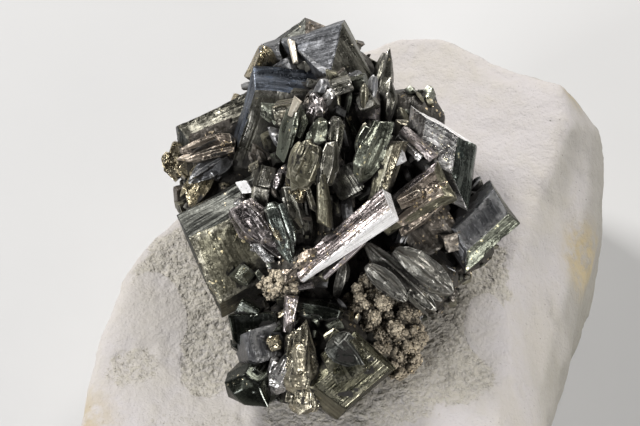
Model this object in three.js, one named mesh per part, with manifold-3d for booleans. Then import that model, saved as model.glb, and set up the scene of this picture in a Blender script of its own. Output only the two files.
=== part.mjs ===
/**
 * Marcasite on chalk: one cluster of intergrown, twinned tablets, bars, spears and lens-shaped
 * crystals, sitting on a broken block of white chalk, with two lumps of brown granular crust.
 *
 * Millimetres, +Z up. The block stands on Z = 0 and the whole specimen is centred over the origin.
 */
import * as THREE from 'three';
import { ConvexGeometry } from 'three/addons/geometries/ConvexGeometry.js';
import { mergeVertices } from 'three/addons/utils/BufferGeometryUtils.js';
import Module from 'manifold-3d';

const wasm = await Module();
wasm.setup();

// ---------------------------------------------------------------- driving dimensions

const BLOCK_HEIGHT = 46; // chalk, from the face that it rests on to its top face
const BLOCK_SECTORS = 44; // points round each level of the block
const BLOCK_CENTRE = new THREE.Vector2(4, -2); // the plan outlines are read round this point
const WALL_RELIEF = 1.0; // depth of the broken steps on the block's sides
const TOP_RELIEF = 0.35; // swell of the block's top face
const GAP = 0.3; // clearance between pieces that touch
const FACE_TILT = 35; // degrees that the cluster's front leans from straight up towards -Y
const SEAT_HEIGHT = 59.1; // height of the cluster frame's origin, above its seat on the chalk
const LENS_STEPS = 5; // facets along a lens-shaped crystal
const LENS_BANDS = 2; // facets across it
const BAR_ROOT = 0.68; // breadth of a bar's root, as a share of its end's
const TABLET_RIM = 0.3; // thickness of a tablet at its edge, as a share of the whole
const BLOCK_RIM = 0.8; // thickness of a stubby block at its edge, as a share of the whole
const ROOT_DETAIL = 1; // subdivision of the root masses
const CRUST_DETAIL = 1; // subdivision of the crust lumps

// Rim of the block's top face, and the widest level lower down, counter-clockwise in plan.
const RIM_PLAN = [
  [-44, -46], [-42.5, -36], [-41, -24], [-38.7, -11.7], [-36, -4], [-32.7, 0.5], [-24.5, 11.5],
  [-7.7, 31], [6, 47.5], [12, 52.4], [26.7, 53], [32, 49], [37, 44], [43, 42.5], [49, 39.5],
  [49.3, 34], [46.5, 25], [43, 16], [39, 7], [36, -4], [34, -16], [33, -30], [31, -44],
  [22, -51], [6, -53], [-14, -51], [-34, -50],
];
const GIRDLE_PLAN = [
  [-44, -48], [-43, -32], [-40.5, -14], [-37, -2], [-31, 8], [-24.5, 18], [-9, 36], [4, 48],
  [14, 54.6], [27, 55], [36, 50.6], [46, 47], [55, 42], [56.5, 36], [55.6, 26], [54.8, 15],
  [51.6, 5], [47.5, -7], [44.5, -18], [41, -30], [39, -44], [30, -53], [12, -56.5],
  [-12, -55], [-34, -54],
];

// Levels of the block: height, share of the way from girdle to rim, and scale of the outline.
const BLOCK_LEVELS = [
  [0, 0, 0.93],
  [2.5, 0, 0.965],
  [10, 0, 0.985],
  [20, 0, 0.995],
  [29, 0, 1],
  [35, 0.25, 1],
  [40, 0.62, 0.995],
  [44, 0.92, 0.995],
  [45.6, 1, 0.98],
  [46, 1, 0.93],
  [46, 1, 0.74],
  [46, 1, 0.5],
  [46, 1, 0.25],
];

/*
 * Crystals of the cluster, as [form, tip, [heading, rise, roll], sizes].
 * The tip is the crystal's outer corner, point or end. The heading is the way that it points,
 * counter-clockwise from +X, the rise lifts it out of the plane and the roll turns it about
 * itself, in degrees. FRONT uses the tilted frame, with X across, Y up the slope and Z outwards.
 */
const FRONT = [
  // crown
  ['tablet', [-2.9, 35.6, -12], [99, 15, 0], [9, 12, 8, 3.6, 122, 0.9]],
  ['tablet', [4.3, 34.6, -5], [67, 15, 0], [12, 17, 12, 5, 103, 1.35]],
  ['block', [-10.6, 30.4, -8], [105, 10, 20], [6, 6, 5, 1.3, 85]],
  ['block', [-7.2, 31.2, -7], [60, 30, 0], [4, 5, 4, 1.3, 95]],
  ['spear', [12.7, 30.1, -8], [78, 5, 35], [13, 5.2, 4, 6]],
  ['spear', [12.8, 24.4, -2], [80, 5, 20], [11, 4.6, 4, 4]],
  ['block', [10.4, 22, 2], [48, 15, 0], [7.2, 6.6, 7.5, 1.5, 92]],
  ['block', [6.8, 25.4, -0.5], [80, 25, 0], [3.4, 3.4, 3.4, 0.6, 100]],
  ['spear', [4.5, 25.7, 1], [70, 20, 30], [7, 3, 3, 2]],
  ['bar', [-5.3, 31.4, -4.6], [102, -32, 30], [5.2, 1.3, 1.4, 0.3, 0.3]],
  // great blade
  ['tablet', [-11.9, 26.8, -4], [124, 8, 0], [22.5, 20, 9, 3.6, 99, 0.28]],
  ['spear', [-10.3, 19.6, 5], [150, 8, 25], [8, 5.5, 4, 5]],
  ['block', [-4.6, 19.8, 8], [55, 25, 0], [3.6, 3.6, 3.6, 0.6, 90]],
  ['bar', [-3.7, 20.2, 10.6], [66, -6, 0], [3.6, 1.7, 1.5, 0.2, 0.5]],
  ['spear', [-9.2, 15.3, 6], [140, 6, 20], [7, 5, 4, 4]],
  ['spear', [-11.8, 12.4, 4.6], [118, 10, 20], [9, 4.6, 4.2, 3.4]],
  ['lens', [-5.3, 8.5, 8.2], [72, 20, -15], [6.4, 4.2, 4.6]],
  ['block', [-11, 8.3, 7], [120, 10, 20], [3.8, 3, 4, 0.7, 95]],
  // centre stack
  ['lens', [1, 23.2, 10.2], [72, 40, 20], [6, 3.6, 3.4]],
  ['lens', [2.3, 21.6, 10.6], [50, 35, 0], [5, 2.8, 2.8]],
  ['lens', [0, 20, 11], [74, 30, -20], [8, 4.2, 4.6]],
  ['lens', [-3.3, 19.5, 10], [72, 14, 20], [10.5, 5, 7.4]],
  ['lens', [0.3, 16.6, 12], [78, 8, 20], [6.5, 3.6, 4]],
  ['lens', [3, 17.2, 11], [84, 8, -30], [7, 3.4, 4]],
  ['bar', [2, 25.7, 6], [98, 10, 0], [16, 2, 2.6, 0.4, 0.8]],
  ['lens', [-1.9, 12.9, 12], [82, 5, 20], [9, 6, 6]],
  ['lens', [1.8, 12.4, 12], [80, 0, -20], [8, 4.5, 5]],
  ['block', [2.8, 9.8, 11], [40, 5, 20], [3.4, 3.2, 3.6, 0.7, 95]],
  ['lens', [-3.9, 4.4, 13], [-110, 0, 10], [8, 5.5, 5]],
  ['bar', [0.9, -2.8, 13], [-86, 0, 20], [9.5, 2.6, 2.8, 0.5, 1.2]],
  ['spear', [-0.7, 0, 12], [-72, 0, 0], [7, 1.8, 2.2, 1]],
  ['block', [8.4, 4.4, 8.2], [-18, 14, 10], [5.5, 5, 4.4, 1, 84]],
  ['bar', [6.9, 5.6, 10.5], [-112, -4, 22], [11.5, 6, 8.4, 1.5, 1.6]],
  ['bar', [13, 11.8, 10], [74, 12, -28], [11, 4.4, 5, 0.9, -1.8]],
  ['block', [14.2, 12.4, 10.6], [66, 10, -10], [1.9, 3.4, 1.6, 0.3, 82]],
  // brassy group on the left
  ['tablet', [-26.3, 15.7, -8], [152, 5, 0], [13.7, 16, 9, 3.4, 107]],
  ['block', [-27, 13.2, -9], [120, 0, 0], [6, 5, 5, 1, 90]],
  ['spear', [-25.6, 9.5, -2], [196, 0, 10], [11, 6.4, 5.4, 8.6]],
  ['spear', [-24.4, 4.9, -2], [214, 0, 0], [10, 6, 5, 7.8]],
  ['lens', [-23.5, 1.6, -3], [240, 0, 0], [9, 6, 5]],
  // large tablet on the left and the drops beside it
  ['tablet', [-25.8, -0.8, 2], [161, 0, -14], [20.3, 18, 10, 3.8, 96, 0.4]],
  ['block', [-14.9, 5.3, 7], [150, -24, -8], [3, 2.8, 2.2, 0.25, 72]],
  ['block', [-12.4, 4.6, 8], [130, 10, 10], [3.4, 3.2, 3.4, 0.9, 90]],
  ['spear', [-6.7, -7.9, 11], [-50, 5, 10], [12, 7.4, 6, 8]],
  ['spear', [-4.3, -10.4, 12], [-70, 5, 20], [13, 5.6, 5, 10.2]],
  ['spear', [-2.8, -6, 9], [-76, -4, 25], [11, 4.4, 4, 4]],
  ['lens', [-3, 2, 11], [-80, 0, 0], [6, 4.5, 4]],
  // bright bar across the middle
  ['bar', [12.9, 2, 15], [37, 6, -58], [21, 7.4, 3.4, 0.35, 1, 0.12]],
  ['lens', [0.2, -6.6, 12.4], [37, 4, -30], [8, 4.6, 3.2]],
  // right side
  ['tablet', [28.2, 12, 2], [25, 0, -12], [14, 12, 10, 3.4, 113, 0.3]],
  ['bar', [22.8, 5.8, 9], [33, 4, -12], [14.5, 7.2, 6.6, 1.3, 0.7]],
  ['bar', [20.5, 9.7, 6.4], [-41, 0, 20], [8, 1.7, 5, 0.3, 0]],
  ['bar', [18.4, 9.9, 6.4], [-40, 0, 20], [6, 1.7, 5, 0.3, 0]],
  ['bar', [14.6, 16.6, 4], [88, 6, 12], [7, 2.4, 3, 0.4, 0]],
  ['block', [22.3, 18.6, -12], [20, 0, 20], [6, 5, 1.6, 0.5, 70]],
  ['block', [19, 21.4, -12], [40, 0, 0], [6, 3, 3, 0.8, 90]],
  ['tablet', [35.3, -2.2, 2], [-8, 0, -10], [9.5, 13, 6.5, 2.4, 101, 0.3]],
  ['lens', [28.8, 6.2, 0], [78, 12, 0], [8, 3, 4]],
  ['spear', [16.2, -0.8, 4], [68, 0, 20], [7, 2.4, 2.4, 2]],
  ['block', [25.4, -3.4, 1], [-10, 0, 0], [8, 9, 8, 1.6, 90]],
  ['lens', [15.4, -15.6, 10], [-42, 0, 25], [9.8, 4.4, 3.4]],
  ['lens', [20.6, -17.2, 8], [-43, 0, 20], [17.2, 4.4, 4]],
  ['lens', [23.4, -14.4, 9], [-38, 0, 20], [12.8, 6.4, 5]],
  ['lens', [4.4, -8.2, 6], [76, 18, 0], [7.4, 3.4, 4.4]],
  // foot
  ['bar', [-1.2, -12.3, 11], [12, 0, 20], [4.2, 1.6, 2, 0.3, 0]],
  ['lens', [3.8, -17.8, 11], [-12, 4, 0], [8, 4.2, 5.4]],
  ['bar', [-5, -14.4, 13], [84, 5, 15], [6.4, 2.4, 2.4, 0.4, 0]],
  ['spear', [-2.7, -18.8, 13], [86, -4, 12], [12.6, 7.6, 7.4, 9.8]],
  ['spear', [-4.4, -22.6, 12.6], [66, -4, 12], [9.4, 5.4, 6, 7.4]],
  ['lens', [-2.4, -35.2, 13.4], [-88, 0, 0], [7, 6.6, 5]],
  ['lens', [-13.6, -32.4, 15.6], [238, 48, 10], [9.5, 9.6, 9]],
  ['block', [-14.4, -21.6, 11.4], [150, 14, 20], [6, 7, 6, 1.8, 95]],
  ['block', [-7.2, -21.4, 14.2], [60, 20, 0], [2, 2.2, 2, 0.4, 92]],
  ['block', [-15.6, -18, 8], [140, 0, 0], [5, 8, 6, 1.2, 90]],
  ['block', [5.2, -21.6, 13.4], [20, 0, 0], [3.2, 3.4, 3.4, 1, 95]],
  ['block', [8.8, -27, 13.6], [-20, 0, 0], [6, 7, 6, 2.2, 95]],
  ['tablet', [2.6, -36.2, 12], [-90, 0, -12], [14, 9.4, 8, 2.2, 97, 0.4]],
  ['spear', [8.2, -27.4, 16.2], [-42, 6, 0], [8.4, 6.4, 4.6, 6.6]],
];

// The cluster's back, in the upright frame: X across, Y to the back and Z up.
const REAR = [
  ['tablet', [-2, 40, 57], [95, 12, 70], [14, 13, 7, 2.6, 104]],
  ['tablet', [-11, 34, 60], [122, 18, 40], [12, 10, 6, 2.2, 98]],
  ['tablet', [6, 35, 59], [66, 20, -50], [11, 10, 6, 2.2, 100]],
  ['tablet', [-19, 23, 56], [142, 8, 30], [11, 9, 6, 2, 95]],
  ['tablet', [-15, 28, 51], [128, -8, 75], [10, 9, 5, 1.8, 108]],
  ['tablet', [3, 36, 50], [86, -6, -20], [10, 11, 5.5, 2, 96]],
  ['tablet', [17, 26, 56], [48, 12, 60], [10, 9, 5, 1.8, 100]],
  ['tablet', [25, 17, 53], [28, 6, -30], [10, 9, 5, 1.8, 98]],
  ['bar', [12, 32, 55], [64, 10, 20], [12, 3.4, 3, 0.6, 1]],
  ['bar', [-6, 38, 52], [104, 2, 0], [12, 3, 3, 0.6, 0.8]],
  ['lens', [-9, 37, 56], [115, 25, 30], [9, 4.4, 4]],
  ['lens', [1, 38, 63], [90, 45, 0], [9, 5, 4]],
  ['lens', [10, 31, 62], [60, 40, 10], [8, 4.4, 4]],
  ['lens', [-16, 26, 60], [132, 35, 10], [8, 4.4, 4]],
  ['spear', [-21, 20, 50], [150, -12, 20], [10, 5, 4, 5]],
  ['spear', [-9, 33, 47], [120, -20, 50], [9, 5, 4, 5]],
  ['spear', [20, 24, 50], [46, -4, 20], [9, 4.6, 4, 5]],
  ['spear', [29, 8, 50], [12, 4, 10], [9, 5, 4, 5]],
];

// Rounded masses in which the crystals' roots grow together: centre and half-axes.
const FRONT_ROOTS = [
  [[2.5, 12, -3], [7.5, 13, 10]],
  [[-1, 23, -14], [12, 10, 10]],
  [[-17, 8, -11], [8.5, 9, 8.5]],
  [[-5, -4, 1], [7, 9, 9.5]],
  [[-3.5, -9.5, 8], [5, 4, 5]],
  [[12, 6, -3], [11, 10, 8]],
  [[22, -4, -4], [10, 8, 7]],
  [[17, -12, 0], [8, 6.5, 8]],
  [[-2, -25, 5], [12, 10, 7.5]],
  [[16, 17, -14], [7, 6, 6]],
];
const REAR_ROOTS = [
  [[0, 4, 47], [19, 24, 11]],
  [[-5, 20, 53], [13, 13, 12]],
  [[14, 6, 49], [13, 18, 9]],
];

// Lumps of brown crust in the tilted frame: centre and radius.
const LARGE_CRUST = [
  [[9.4, -16.6, 4], 4.7],
  [[14.8, -20.2, 4], 4.1],
  [[13.4, -24.6, 4.6], 4.2],
  [[7.2, -18.9, 4.6], 3.2],
  [[10.8, -22, 5], 4.4],
];
const SMALL_CRUST = [
  [[-6.9, -11.6, 10], 2.7],
  [[-5.6, -13.4, 10], 2.2],
  [[-8.8, -12.8, 9.6], 2],
];

// ---------------------------------------------------------------- frames

const tiltedFrame = new THREE.Matrix4()
  .makeTranslation(0, 0, SEAT_HEIGHT)
  .multiply(new THREE.Matrix4().makeRotationX(THREE.MathUtils.degToRad(FACE_TILT)));
const uprightFrame = new THREE.Matrix4();

// ---------------------------------------------------------------- crystal forms

/** Bevelled plate with its edges pulled in: an outline at the rim and one inset by the bevel. */
function plate(outline, inset, thick, rimShare) {
  const layers = [
    [outline, rimShare * thick],
    [inset, thick],
  ];
  return layers.flatMap(([points, depth]) =>
    points.flatMap(([x, y]) => [
      new THREE.Vector3(x, y, depth / 2),
      new THREE.Vector3(x, y, -depth / 2),
    ]),
  );
}

/**
 * Plate with its corner at the origin and two sides running back from it, at an angle. The bevel
 * along its first side is a share of the one along the second.
 */
function cornered(sideA, sideB, thick, bevel, angle, share, rimShare) {
  const half = THREE.MathUtils.degToRad(angle) / 2;
  const longest = 0.45 * Math.min(sideA, sideB);
  const wide = Math.min(bevel / Math.sin(2 * half), longest);
  const slim = share * wide;
  const at = (a, b) => [-Math.cos(half) * (a + b), Math.sin(half) * (a - b)];
  const outline = [at(0, 0), at(sideA, 0), at(sideA, sideB), at(0, sideB)];
  const farA = sideA - wide;
  const farB = sideB - wide;
  const inset = [at(wide, slim), at(farA, slim), at(farA, farB), at(wide, farB)];
  return plate(outline, inset, thick, rimShare);
}

/** Tablet: a plate with wide bevels. */
function tablet(sideA, sideB, thick, bevel, angle, share = 0.55) {
  return cornered(sideA, sideB, thick, bevel, angle, share, TABLET_RIM);
}

/** Stubby block: a plate with its edges barely cut. */
function block(sideA, sideB, thick, bevel, angle) {
  return cornered(sideA, sideB, thick, bevel, angle, 1, BLOCK_RIM);
}

/** Bar lying back from the origin, its end cut at a slant and its root thinned by a taper. */
function bar(length, width, thick, bevel, slant, taper = BAR_ROOT) {
  const half = width / 2;
  const inner = half - bevel;
  const far = BAR_ROOT * half;
  const farInner = BAR_ROOT * inner;
  const outline = [[0, half], [-slant, -half], [-length, -far], [-length, far]];
  const inset = [
    [-bevel, inner], [-slant - bevel, -inner], [-length, -farInner], [-length, farInner],
  ];
  const corners = plate(outline, inset, thick, 0.5);
  corners.filter((p) => p.x === -length).forEach((p) => p.setZ(p.z * taper));
  return corners;
}

/** Spear: a point at the origin, then a rhombic section that narrows towards the root. */
function spear(length, width, thick, point) {
  const rootShare = 0.8;
  const section = (x, share) => [
    new THREE.Vector3(x, (width / 2) * share, 0),
    new THREE.Vector3(x, (-width / 2) * share, 0),
    new THREE.Vector3(x, 0, (thick / 2) * share),
    new THREE.Vector3(x, 0, (-thick / 2) * share),
  ];
  return [new THREE.Vector3(), ...section(-point, 1), ...section(-length, rootShare)];
}

/** Lens-shaped crystal with both ends pointed and both broad faces domed. */
function lens(length, width, thick) {
  const points = [];
  for (let i = 0; i <= LENS_STEPS; i += 1) {
    const along = -1 + (2 * i) / LENS_STEPS;
    const swell = 1 - along * along;
    for (let j = 0; j <= LENS_BANDS; j += 1) {
      const across = -1 + (2 * j) / LENS_BANDS;
      const x = (length / 2) * (along - 1);
      const y = (width / 2) * swell * across;
      const z = (thick / 2) * swell * (1 - across * across);
      points.push(new THREE.Vector3(x, y, z), new THREE.Vector3(x, y, -z));
    }
  }
  return points;
}

const FORMS = { tablet, block, bar, spear, lens };

// ---------------------------------------------------------------- solids

/** Closed three.js geometry to a solid that can be joined and cut. */
function solidOf(geometry) {
  const bare = geometry.clone();
  bare.deleteAttribute('normal');
  bare.deleteAttribute('uv');
  const merged = mergeVertices(bare, 1e-4);
  return new wasm.Manifold(
    new wasm.Mesh({
      numProp: 3,
      vertProperties: new Float32Array(merged.attributes.position.array),
      triVerts: new Uint32Array(merged.index.array),
    }),
  );
}

/** Solid back to a three.js geometry. */
function geometryOf(solid) {
  const mesh = solid.getMesh();
  const geometry = new THREE.BufferGeometry();
  geometry.setAttribute('position', new THREE.BufferAttribute(mesh.vertProperties, 3));
  geometry.setIndex(new THREE.BufferAttribute(mesh.triVerts, 1));
  geometry.computeVertexNormals();
  return geometry;
}

/** All solids of a list joined in one. */
function joined(solids) {
  return solids.reduce((whole, piece) => whole.add(piece));
}

/** Largest separate body of a solid, without chips or enclosed hollows. */
function mainBody(solid) {
  return solid.decompose().sort((a, b) => b.volume() - a.volume())[0];
}

/** One crystal of the lists above, in its place. */
function crystal([form, tip, [heading, rise, roll], sizes], frame) {
  const [turn, lift, spin] = [heading, rise, roll].map(THREE.MathUtils.degToRad);
  const place = new THREE.Matrix4().makeRotationFromEuler(new THREE.Euler(spin, -lift, turn, 'ZYX'));
  place.setPosition(...tip);
  const geometry = new ConvexGeometry(FORMS[form](...sizes));
  geometry.applyMatrix4(place).applyMatrix4(frame);
  return solidOf(geometry);
}

/** Rounded lump with the given centre and half-axes. */
function lump(centre, halfAxes, detail, frame) {
  const geometry = new THREE.IcosahedronGeometry(1, detail);
  geometry.scale(...halfAxes).translate(...centre).applyMatrix4(frame);
  return solidOf(geometry);
}

// ---------------------------------------------------------------- chalk block

/** Radius of a closed plan outline at evenly spaced bearings round the block's centre. */
function planRadii(plan) {
  const samples = 720;
  const points = plan.map(([x, y]) => new THREE.Vector3(x - BLOCK_CENTRE.x, y - BLOCK_CENTRE.y, 0));
  const curve = new THREE.CatmullRomCurve3(points, true, 'centripetal');
  const polar = curve.getPoints(samples).map((p) => [Math.atan2(p.y, p.x), Math.hypot(p.x, p.y)]);
  return Array.from({ length: BLOCK_SECTORS }, (_, i) => {
    const bearing = -Math.PI + (2 * Math.PI * (i + 0.5)) / BLOCK_SECTORS;
    const nearest = polar.reduce((best, entry) =>
      (Math.abs(entry[0] - bearing) < Math.abs(best[0] - bearing) ? entry : best));
    return [bearing, nearest[1]];
  });
}

/** Broken steps on the sides, as a shift of the radius. */
function wallRelief(bearing, height) {
  const coarse = Math.sin(5 * bearing + 0.11 * height) + Math.sin(9 * bearing - 0.19 * height + 2);
  const fine = Math.sin(17 * bearing + 0.37 * height + 1);
  return WALL_RELIEF * (0.5 * coarse + 0.35 * fine);
}

/** Gentle swell of the top face. */
function topRelief(x, y) {
  return TOP_RELIEF * (Math.sin(0.16 * x + 0.5) + Math.sin(0.13 * y - 0.07 * x));
}

/** The block, its surface moved outwards by a clearance. */
function chalkSolid(clearance) {
  const rim = planRadii(RIM_PLAN);
  const girdle = planRadii(GIRDLE_PLAN);
  const positions = [];
  for (const [height, toRim, scale] of BLOCK_LEVELS) {
    const onTop = height === BLOCK_HEIGHT;
    for (let i = 0; i < BLOCK_SECTORS; i += 1) {
      const [bearing, girdleRadius] = girdle[i];
      const radius = THREE.MathUtils.lerp(girdleRadius, rim[i][1], toRim) * scale;
      const relief = height > 0 && !onTop ? wallRelief(bearing, height) : 0;
      const x = BLOCK_CENTRE.x + (radius + relief + clearance) * Math.cos(bearing);
      const y = BLOCK_CENTRE.y + (radius + relief + clearance) * Math.sin(bearing);
      const z = height + (onTop ? topRelief(x, y) : 0);
      positions.push(x, y, z + (height > BLOCK_HEIGHT / 2 ? clearance : 0));
    }
  }
  const top = positions.length / 3;
  const crest = BLOCK_HEIGHT + topRelief(BLOCK_CENTRE.x, BLOCK_CENTRE.y) + clearance;
  positions.push(BLOCK_CENTRE.x, BLOCK_CENTRE.y, crest);
  const index = [];
  const base = THREE.ShapeUtils.triangulateShape(
    girdle.map((_, i) => new THREE.Vector2(positions[3 * i], positions[3 * i + 1])),
    [],
  );
  base.forEach(([a, b, c]) => index.push(a, c, b));
  for (let level = 0; level < BLOCK_LEVELS.length; level += 1) {
    for (let i = 0; i < BLOCK_SECTORS; i += 1) {
      const next = (i + 1) % BLOCK_SECTORS;
      const a = level * BLOCK_SECTORS + i;
      const b = level * BLOCK_SECTORS + next;
      if (level === BLOCK_LEVELS.length - 1) {
        index.push(a, b, top);
      } else {
        index.push(a, b, b + BLOCK_SECTORS, a, b + BLOCK_SECTORS, a + BLOCK_SECTORS);
      }
    }
  }
  const geometry = new THREE.BufferGeometry();
  geometry.setAttribute('position', new THREE.Float32BufferAttribute(positions, 3));
  geometry.setIndex(index);
  return solidOf(geometry);
}

// ---------------------------------------------------------------- marcasite and crust

/** A cluster of crust lumps grown by a clearance, clear of the chalk. */
function crustSolid(lumps, clearance) {
  return joined(lumps.map(([centre, radius]) =>
    lump(centre, new Array(3).fill(radius + clearance), CRUST_DETAIL, tiltedFrame)));
}

/** Every crystal joined to the mass of roots, seated on the chalk and round the crust. */
function clusterSolid() {
  const front = FRONT.map((entry) => crystal(entry, tiltedFrame));
  const rear = REAR.map((entry) => crystal(entry, uprightFrame));
  const roots = [
    ...FRONT_ROOTS.map(([centre, halfAxes]) => lump(centre, halfAxes, ROOT_DETAIL, tiltedFrame)),
    ...REAR_ROOTS.map(([centre, halfAxes]) => lump(centre, halfAxes, ROOT_DETAIL, uprightFrame)),
  ];
  const grown = joined([...front, ...rear, ...roots])
    .subtract(chalkSolid(GAP))
    .subtract(crustSolid(LARGE_CRUST, GAP))
    .subtract(crustSolid(SMALL_CRUST, GAP));
  return mainBody(grown);
}

/** One named piece with its own material. */
function piece(name, solid, finish) {
  const mesh = new THREE.Mesh(geometryOf(solid), new THREE.MeshStandardMaterial(finish));
  mesh.name = name;
  return mesh;
}

const CHALK = { color: 0xd8d4cb, roughness: 0.95, metalness: 0 };
const MARCASITE = { color: 0x5b5a50, roughness: 0.35, metalness: 0.9 };
const BROWN_CRUST = { color: 0x5d4c3b, roughness: 0.8, metalness: 0.1 };

const chalk = chalkSolid(0);
const chalkSeat = chalkSolid(GAP);
const specimen = new THREE.Group();
specimen.add(
  piece('chalk_block', chalk, CHALK),
  piece('marcasite_cluster', clusterSolid(), MARCASITE),
  piece('brown_crust_large', mainBody(crustSolid(LARGE_CRUST, 0).subtract(chalkSeat)), BROWN_CRUST),
  piece('brown_crust_small', mainBody(crustSolid(SMALL_CRUST, 0).subtract(chalkSeat)), BROWN_CRUST),
);

const extent = new THREE.Box3().setFromObject(specimen);
const middle = extent.getCenter(new THREE.Vector3());
specimen.position.set(-middle.x, -middle.y, -extent.min.z);

export default specimen;
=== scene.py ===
"""Marcasite on chalk: the looks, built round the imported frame.

Sizes are in millimetres until a mesh is made. The crystals in the lists keep the places, directions
and sizes that they have in the part, apart from four small ones that are only here. The lists use
the part's own two frames: the tilted one, with X across, Y up the slope of the cluster's front and
Z outwards, and the upright one, with Z up. Both have their origin over a fixed point of the block.
"""

from __future__ import annotations

import logging
import math
from dataclasses import dataclass, field
from enum import Enum
from typing import Any, Callable, Iterable, Sequence

import bmesh
import bpy
import numpy as np
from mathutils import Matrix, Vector
from mathutils.bvhtree import BVHTree


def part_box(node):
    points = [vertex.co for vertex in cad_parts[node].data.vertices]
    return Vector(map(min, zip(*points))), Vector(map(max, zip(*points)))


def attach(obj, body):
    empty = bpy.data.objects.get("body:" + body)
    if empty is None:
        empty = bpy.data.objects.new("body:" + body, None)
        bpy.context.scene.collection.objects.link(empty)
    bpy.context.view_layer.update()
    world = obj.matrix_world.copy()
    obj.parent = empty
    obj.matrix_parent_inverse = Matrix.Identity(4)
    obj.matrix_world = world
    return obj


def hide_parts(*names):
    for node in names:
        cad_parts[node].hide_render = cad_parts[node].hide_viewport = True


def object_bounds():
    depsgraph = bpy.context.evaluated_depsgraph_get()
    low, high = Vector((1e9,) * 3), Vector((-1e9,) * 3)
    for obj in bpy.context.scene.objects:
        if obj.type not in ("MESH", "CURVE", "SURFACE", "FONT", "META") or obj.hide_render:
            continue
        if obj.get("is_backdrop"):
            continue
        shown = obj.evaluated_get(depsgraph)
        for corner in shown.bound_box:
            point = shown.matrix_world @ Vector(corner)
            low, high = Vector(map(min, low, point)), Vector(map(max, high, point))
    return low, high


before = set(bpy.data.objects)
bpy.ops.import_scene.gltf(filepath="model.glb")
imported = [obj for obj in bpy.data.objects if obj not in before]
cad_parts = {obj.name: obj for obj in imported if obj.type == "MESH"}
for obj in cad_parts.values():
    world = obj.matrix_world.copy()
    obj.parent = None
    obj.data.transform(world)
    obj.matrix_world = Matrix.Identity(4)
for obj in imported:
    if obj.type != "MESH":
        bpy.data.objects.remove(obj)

log = logging.getLogger("marcasite")

MM = 0.001
# From the block's lowest corner to the point under both of the part's origins.
CORNER_TO_ORIGIN = np.array([44.187, 57.177, 0.0])
CLUSTER_NODE = "marcasite_cluster"
CHALK_NODE = "chalk_block"

Array = np.ndarray
Draws = np.random.Generator
Pair = tuple[float, float]
Triple = tuple[float, float, float]
Colour = Triple
EdgeRule = Callable[[Array, Array], Array]


# ---- helpers


def unit(vector: Array) -> Array:
    """Vector of length 1 along another."""
    return vector / np.linalg.norm(vector)


def unit_rows(vectors: Array, least: float = 1e-6) -> Array:
    """Vectors of length 1 along others that are longer than the least length."""
    return vectors / np.maximum(np.linalg.norm(vectors, axis=-1, keepdims=True), least)


def linked(name: str, data: bpy.types.ID) -> bpy.types.Object:
    """New object of the scene.

    Args:
        name: Its name.
        data: Its mesh, light or camera.

    Returns:
        The object.
    """
    made = bpy.data.objects.new(name, data)
    bpy.context.scene.collection.objects.link(made)
    return made


def vectors_of(mesh: bpy.types.Mesh, name: str) -> Array:
    """One vector from each point of a mesh.

    Args:
        mesh: The mesh.
        name: Which vector: "co" for its place or "normal" for its normal.

    Returns:
        The vectors as rows.
    """
    flat = np.zeros(len(mesh.vertices) * 3)
    mesh.vertices.foreach_get(name, flat)
    return flat.reshape(-1, 3)


def store(mesh: bpy.types.Mesh, name: str, values: Array) -> None:
    """Stores a named layer on a mesh's points.

    Args:
        mesh: The mesh.
        name: The layer's name.
        values: A number or a row of three for each point.
    """
    kind, key = ("FLOAT_VECTOR", "vector") if values.ndim == 2 else ("FLOAT", "value")
    mesh.attributes.new(name, kind, "POINT").data.foreach_set(key, values.ravel())


# ---- frames


@dataclass(frozen=True)
class Frames:
    """The part's frames, hung on the chalk block's lowest corner.

    Attributes:
        origin: The block frame's origin in the row frame, in millimetres.
        seat: Height of the tilted frame's origin.
        tilt: Degrees that the tilted frame leans back towards -Y.
    """

    origin: Array
    seat: float = 59.1
    tilt: float = 35.0

    @classmethod
    def on_block(cls) -> Frames:
        """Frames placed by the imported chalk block."""
        low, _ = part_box(CHALK_NODE)
        return cls(np.array(low) / MM + CORNER_TO_ORIGIN)

    def _turn(self) -> Array:
        """Rotation from the tilted frame to the block frame."""
        c, s = math.cos(math.radians(self.tilt)), math.sin(math.radians(self.tilt))
        return np.array([[1, 0, 0], [0, c, -s], [0, s, c]])

    def from_tilted(self, points: Array) -> Array:
        """Points of the tilted frame, in the row frame, in millimetres."""
        return points @ self._turn().T + self.origin + np.array([0, 0, self.seat])

    def from_upright(self, points: Array) -> Array:
        """Points of the block frame, in the row frame, in millimetres."""
        return points + self.origin

    def to_block(self, points: Array) -> Array:
        """Points of the row frame, in millimetres, in the block frame."""
        return points - self.origin


def turned(heading: float, rise: float, roll: float) -> Array:
    """Axes of a crystal that points along a heading.

    Args:
        heading: Degrees counter-clockwise from +X.
        rise: Degrees that it lifts out of the plane.
        roll: Degrees that it turns about itself.

    Returns:
        Rotation matrix, with the crystal's length, breadth and normal as columns.
    """
    h, r, s = (math.radians(a) for a in (heading, -rise, roll))
    about_z = np.array([[math.cos(h), -math.sin(h), 0], [math.sin(h), math.cos(h), 0], [0, 0, 1]])
    about_y = np.array([[math.cos(r), 0, math.sin(r)], [0, 1, 0], [-math.sin(r), 0, math.cos(r)]])
    about_x = np.array([[1, 0, 0], [0, math.cos(s), -math.sin(s)], [0, math.sin(s), math.cos(s)]])
    return about_z @ about_y @ about_x


# ---- noise


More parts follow.
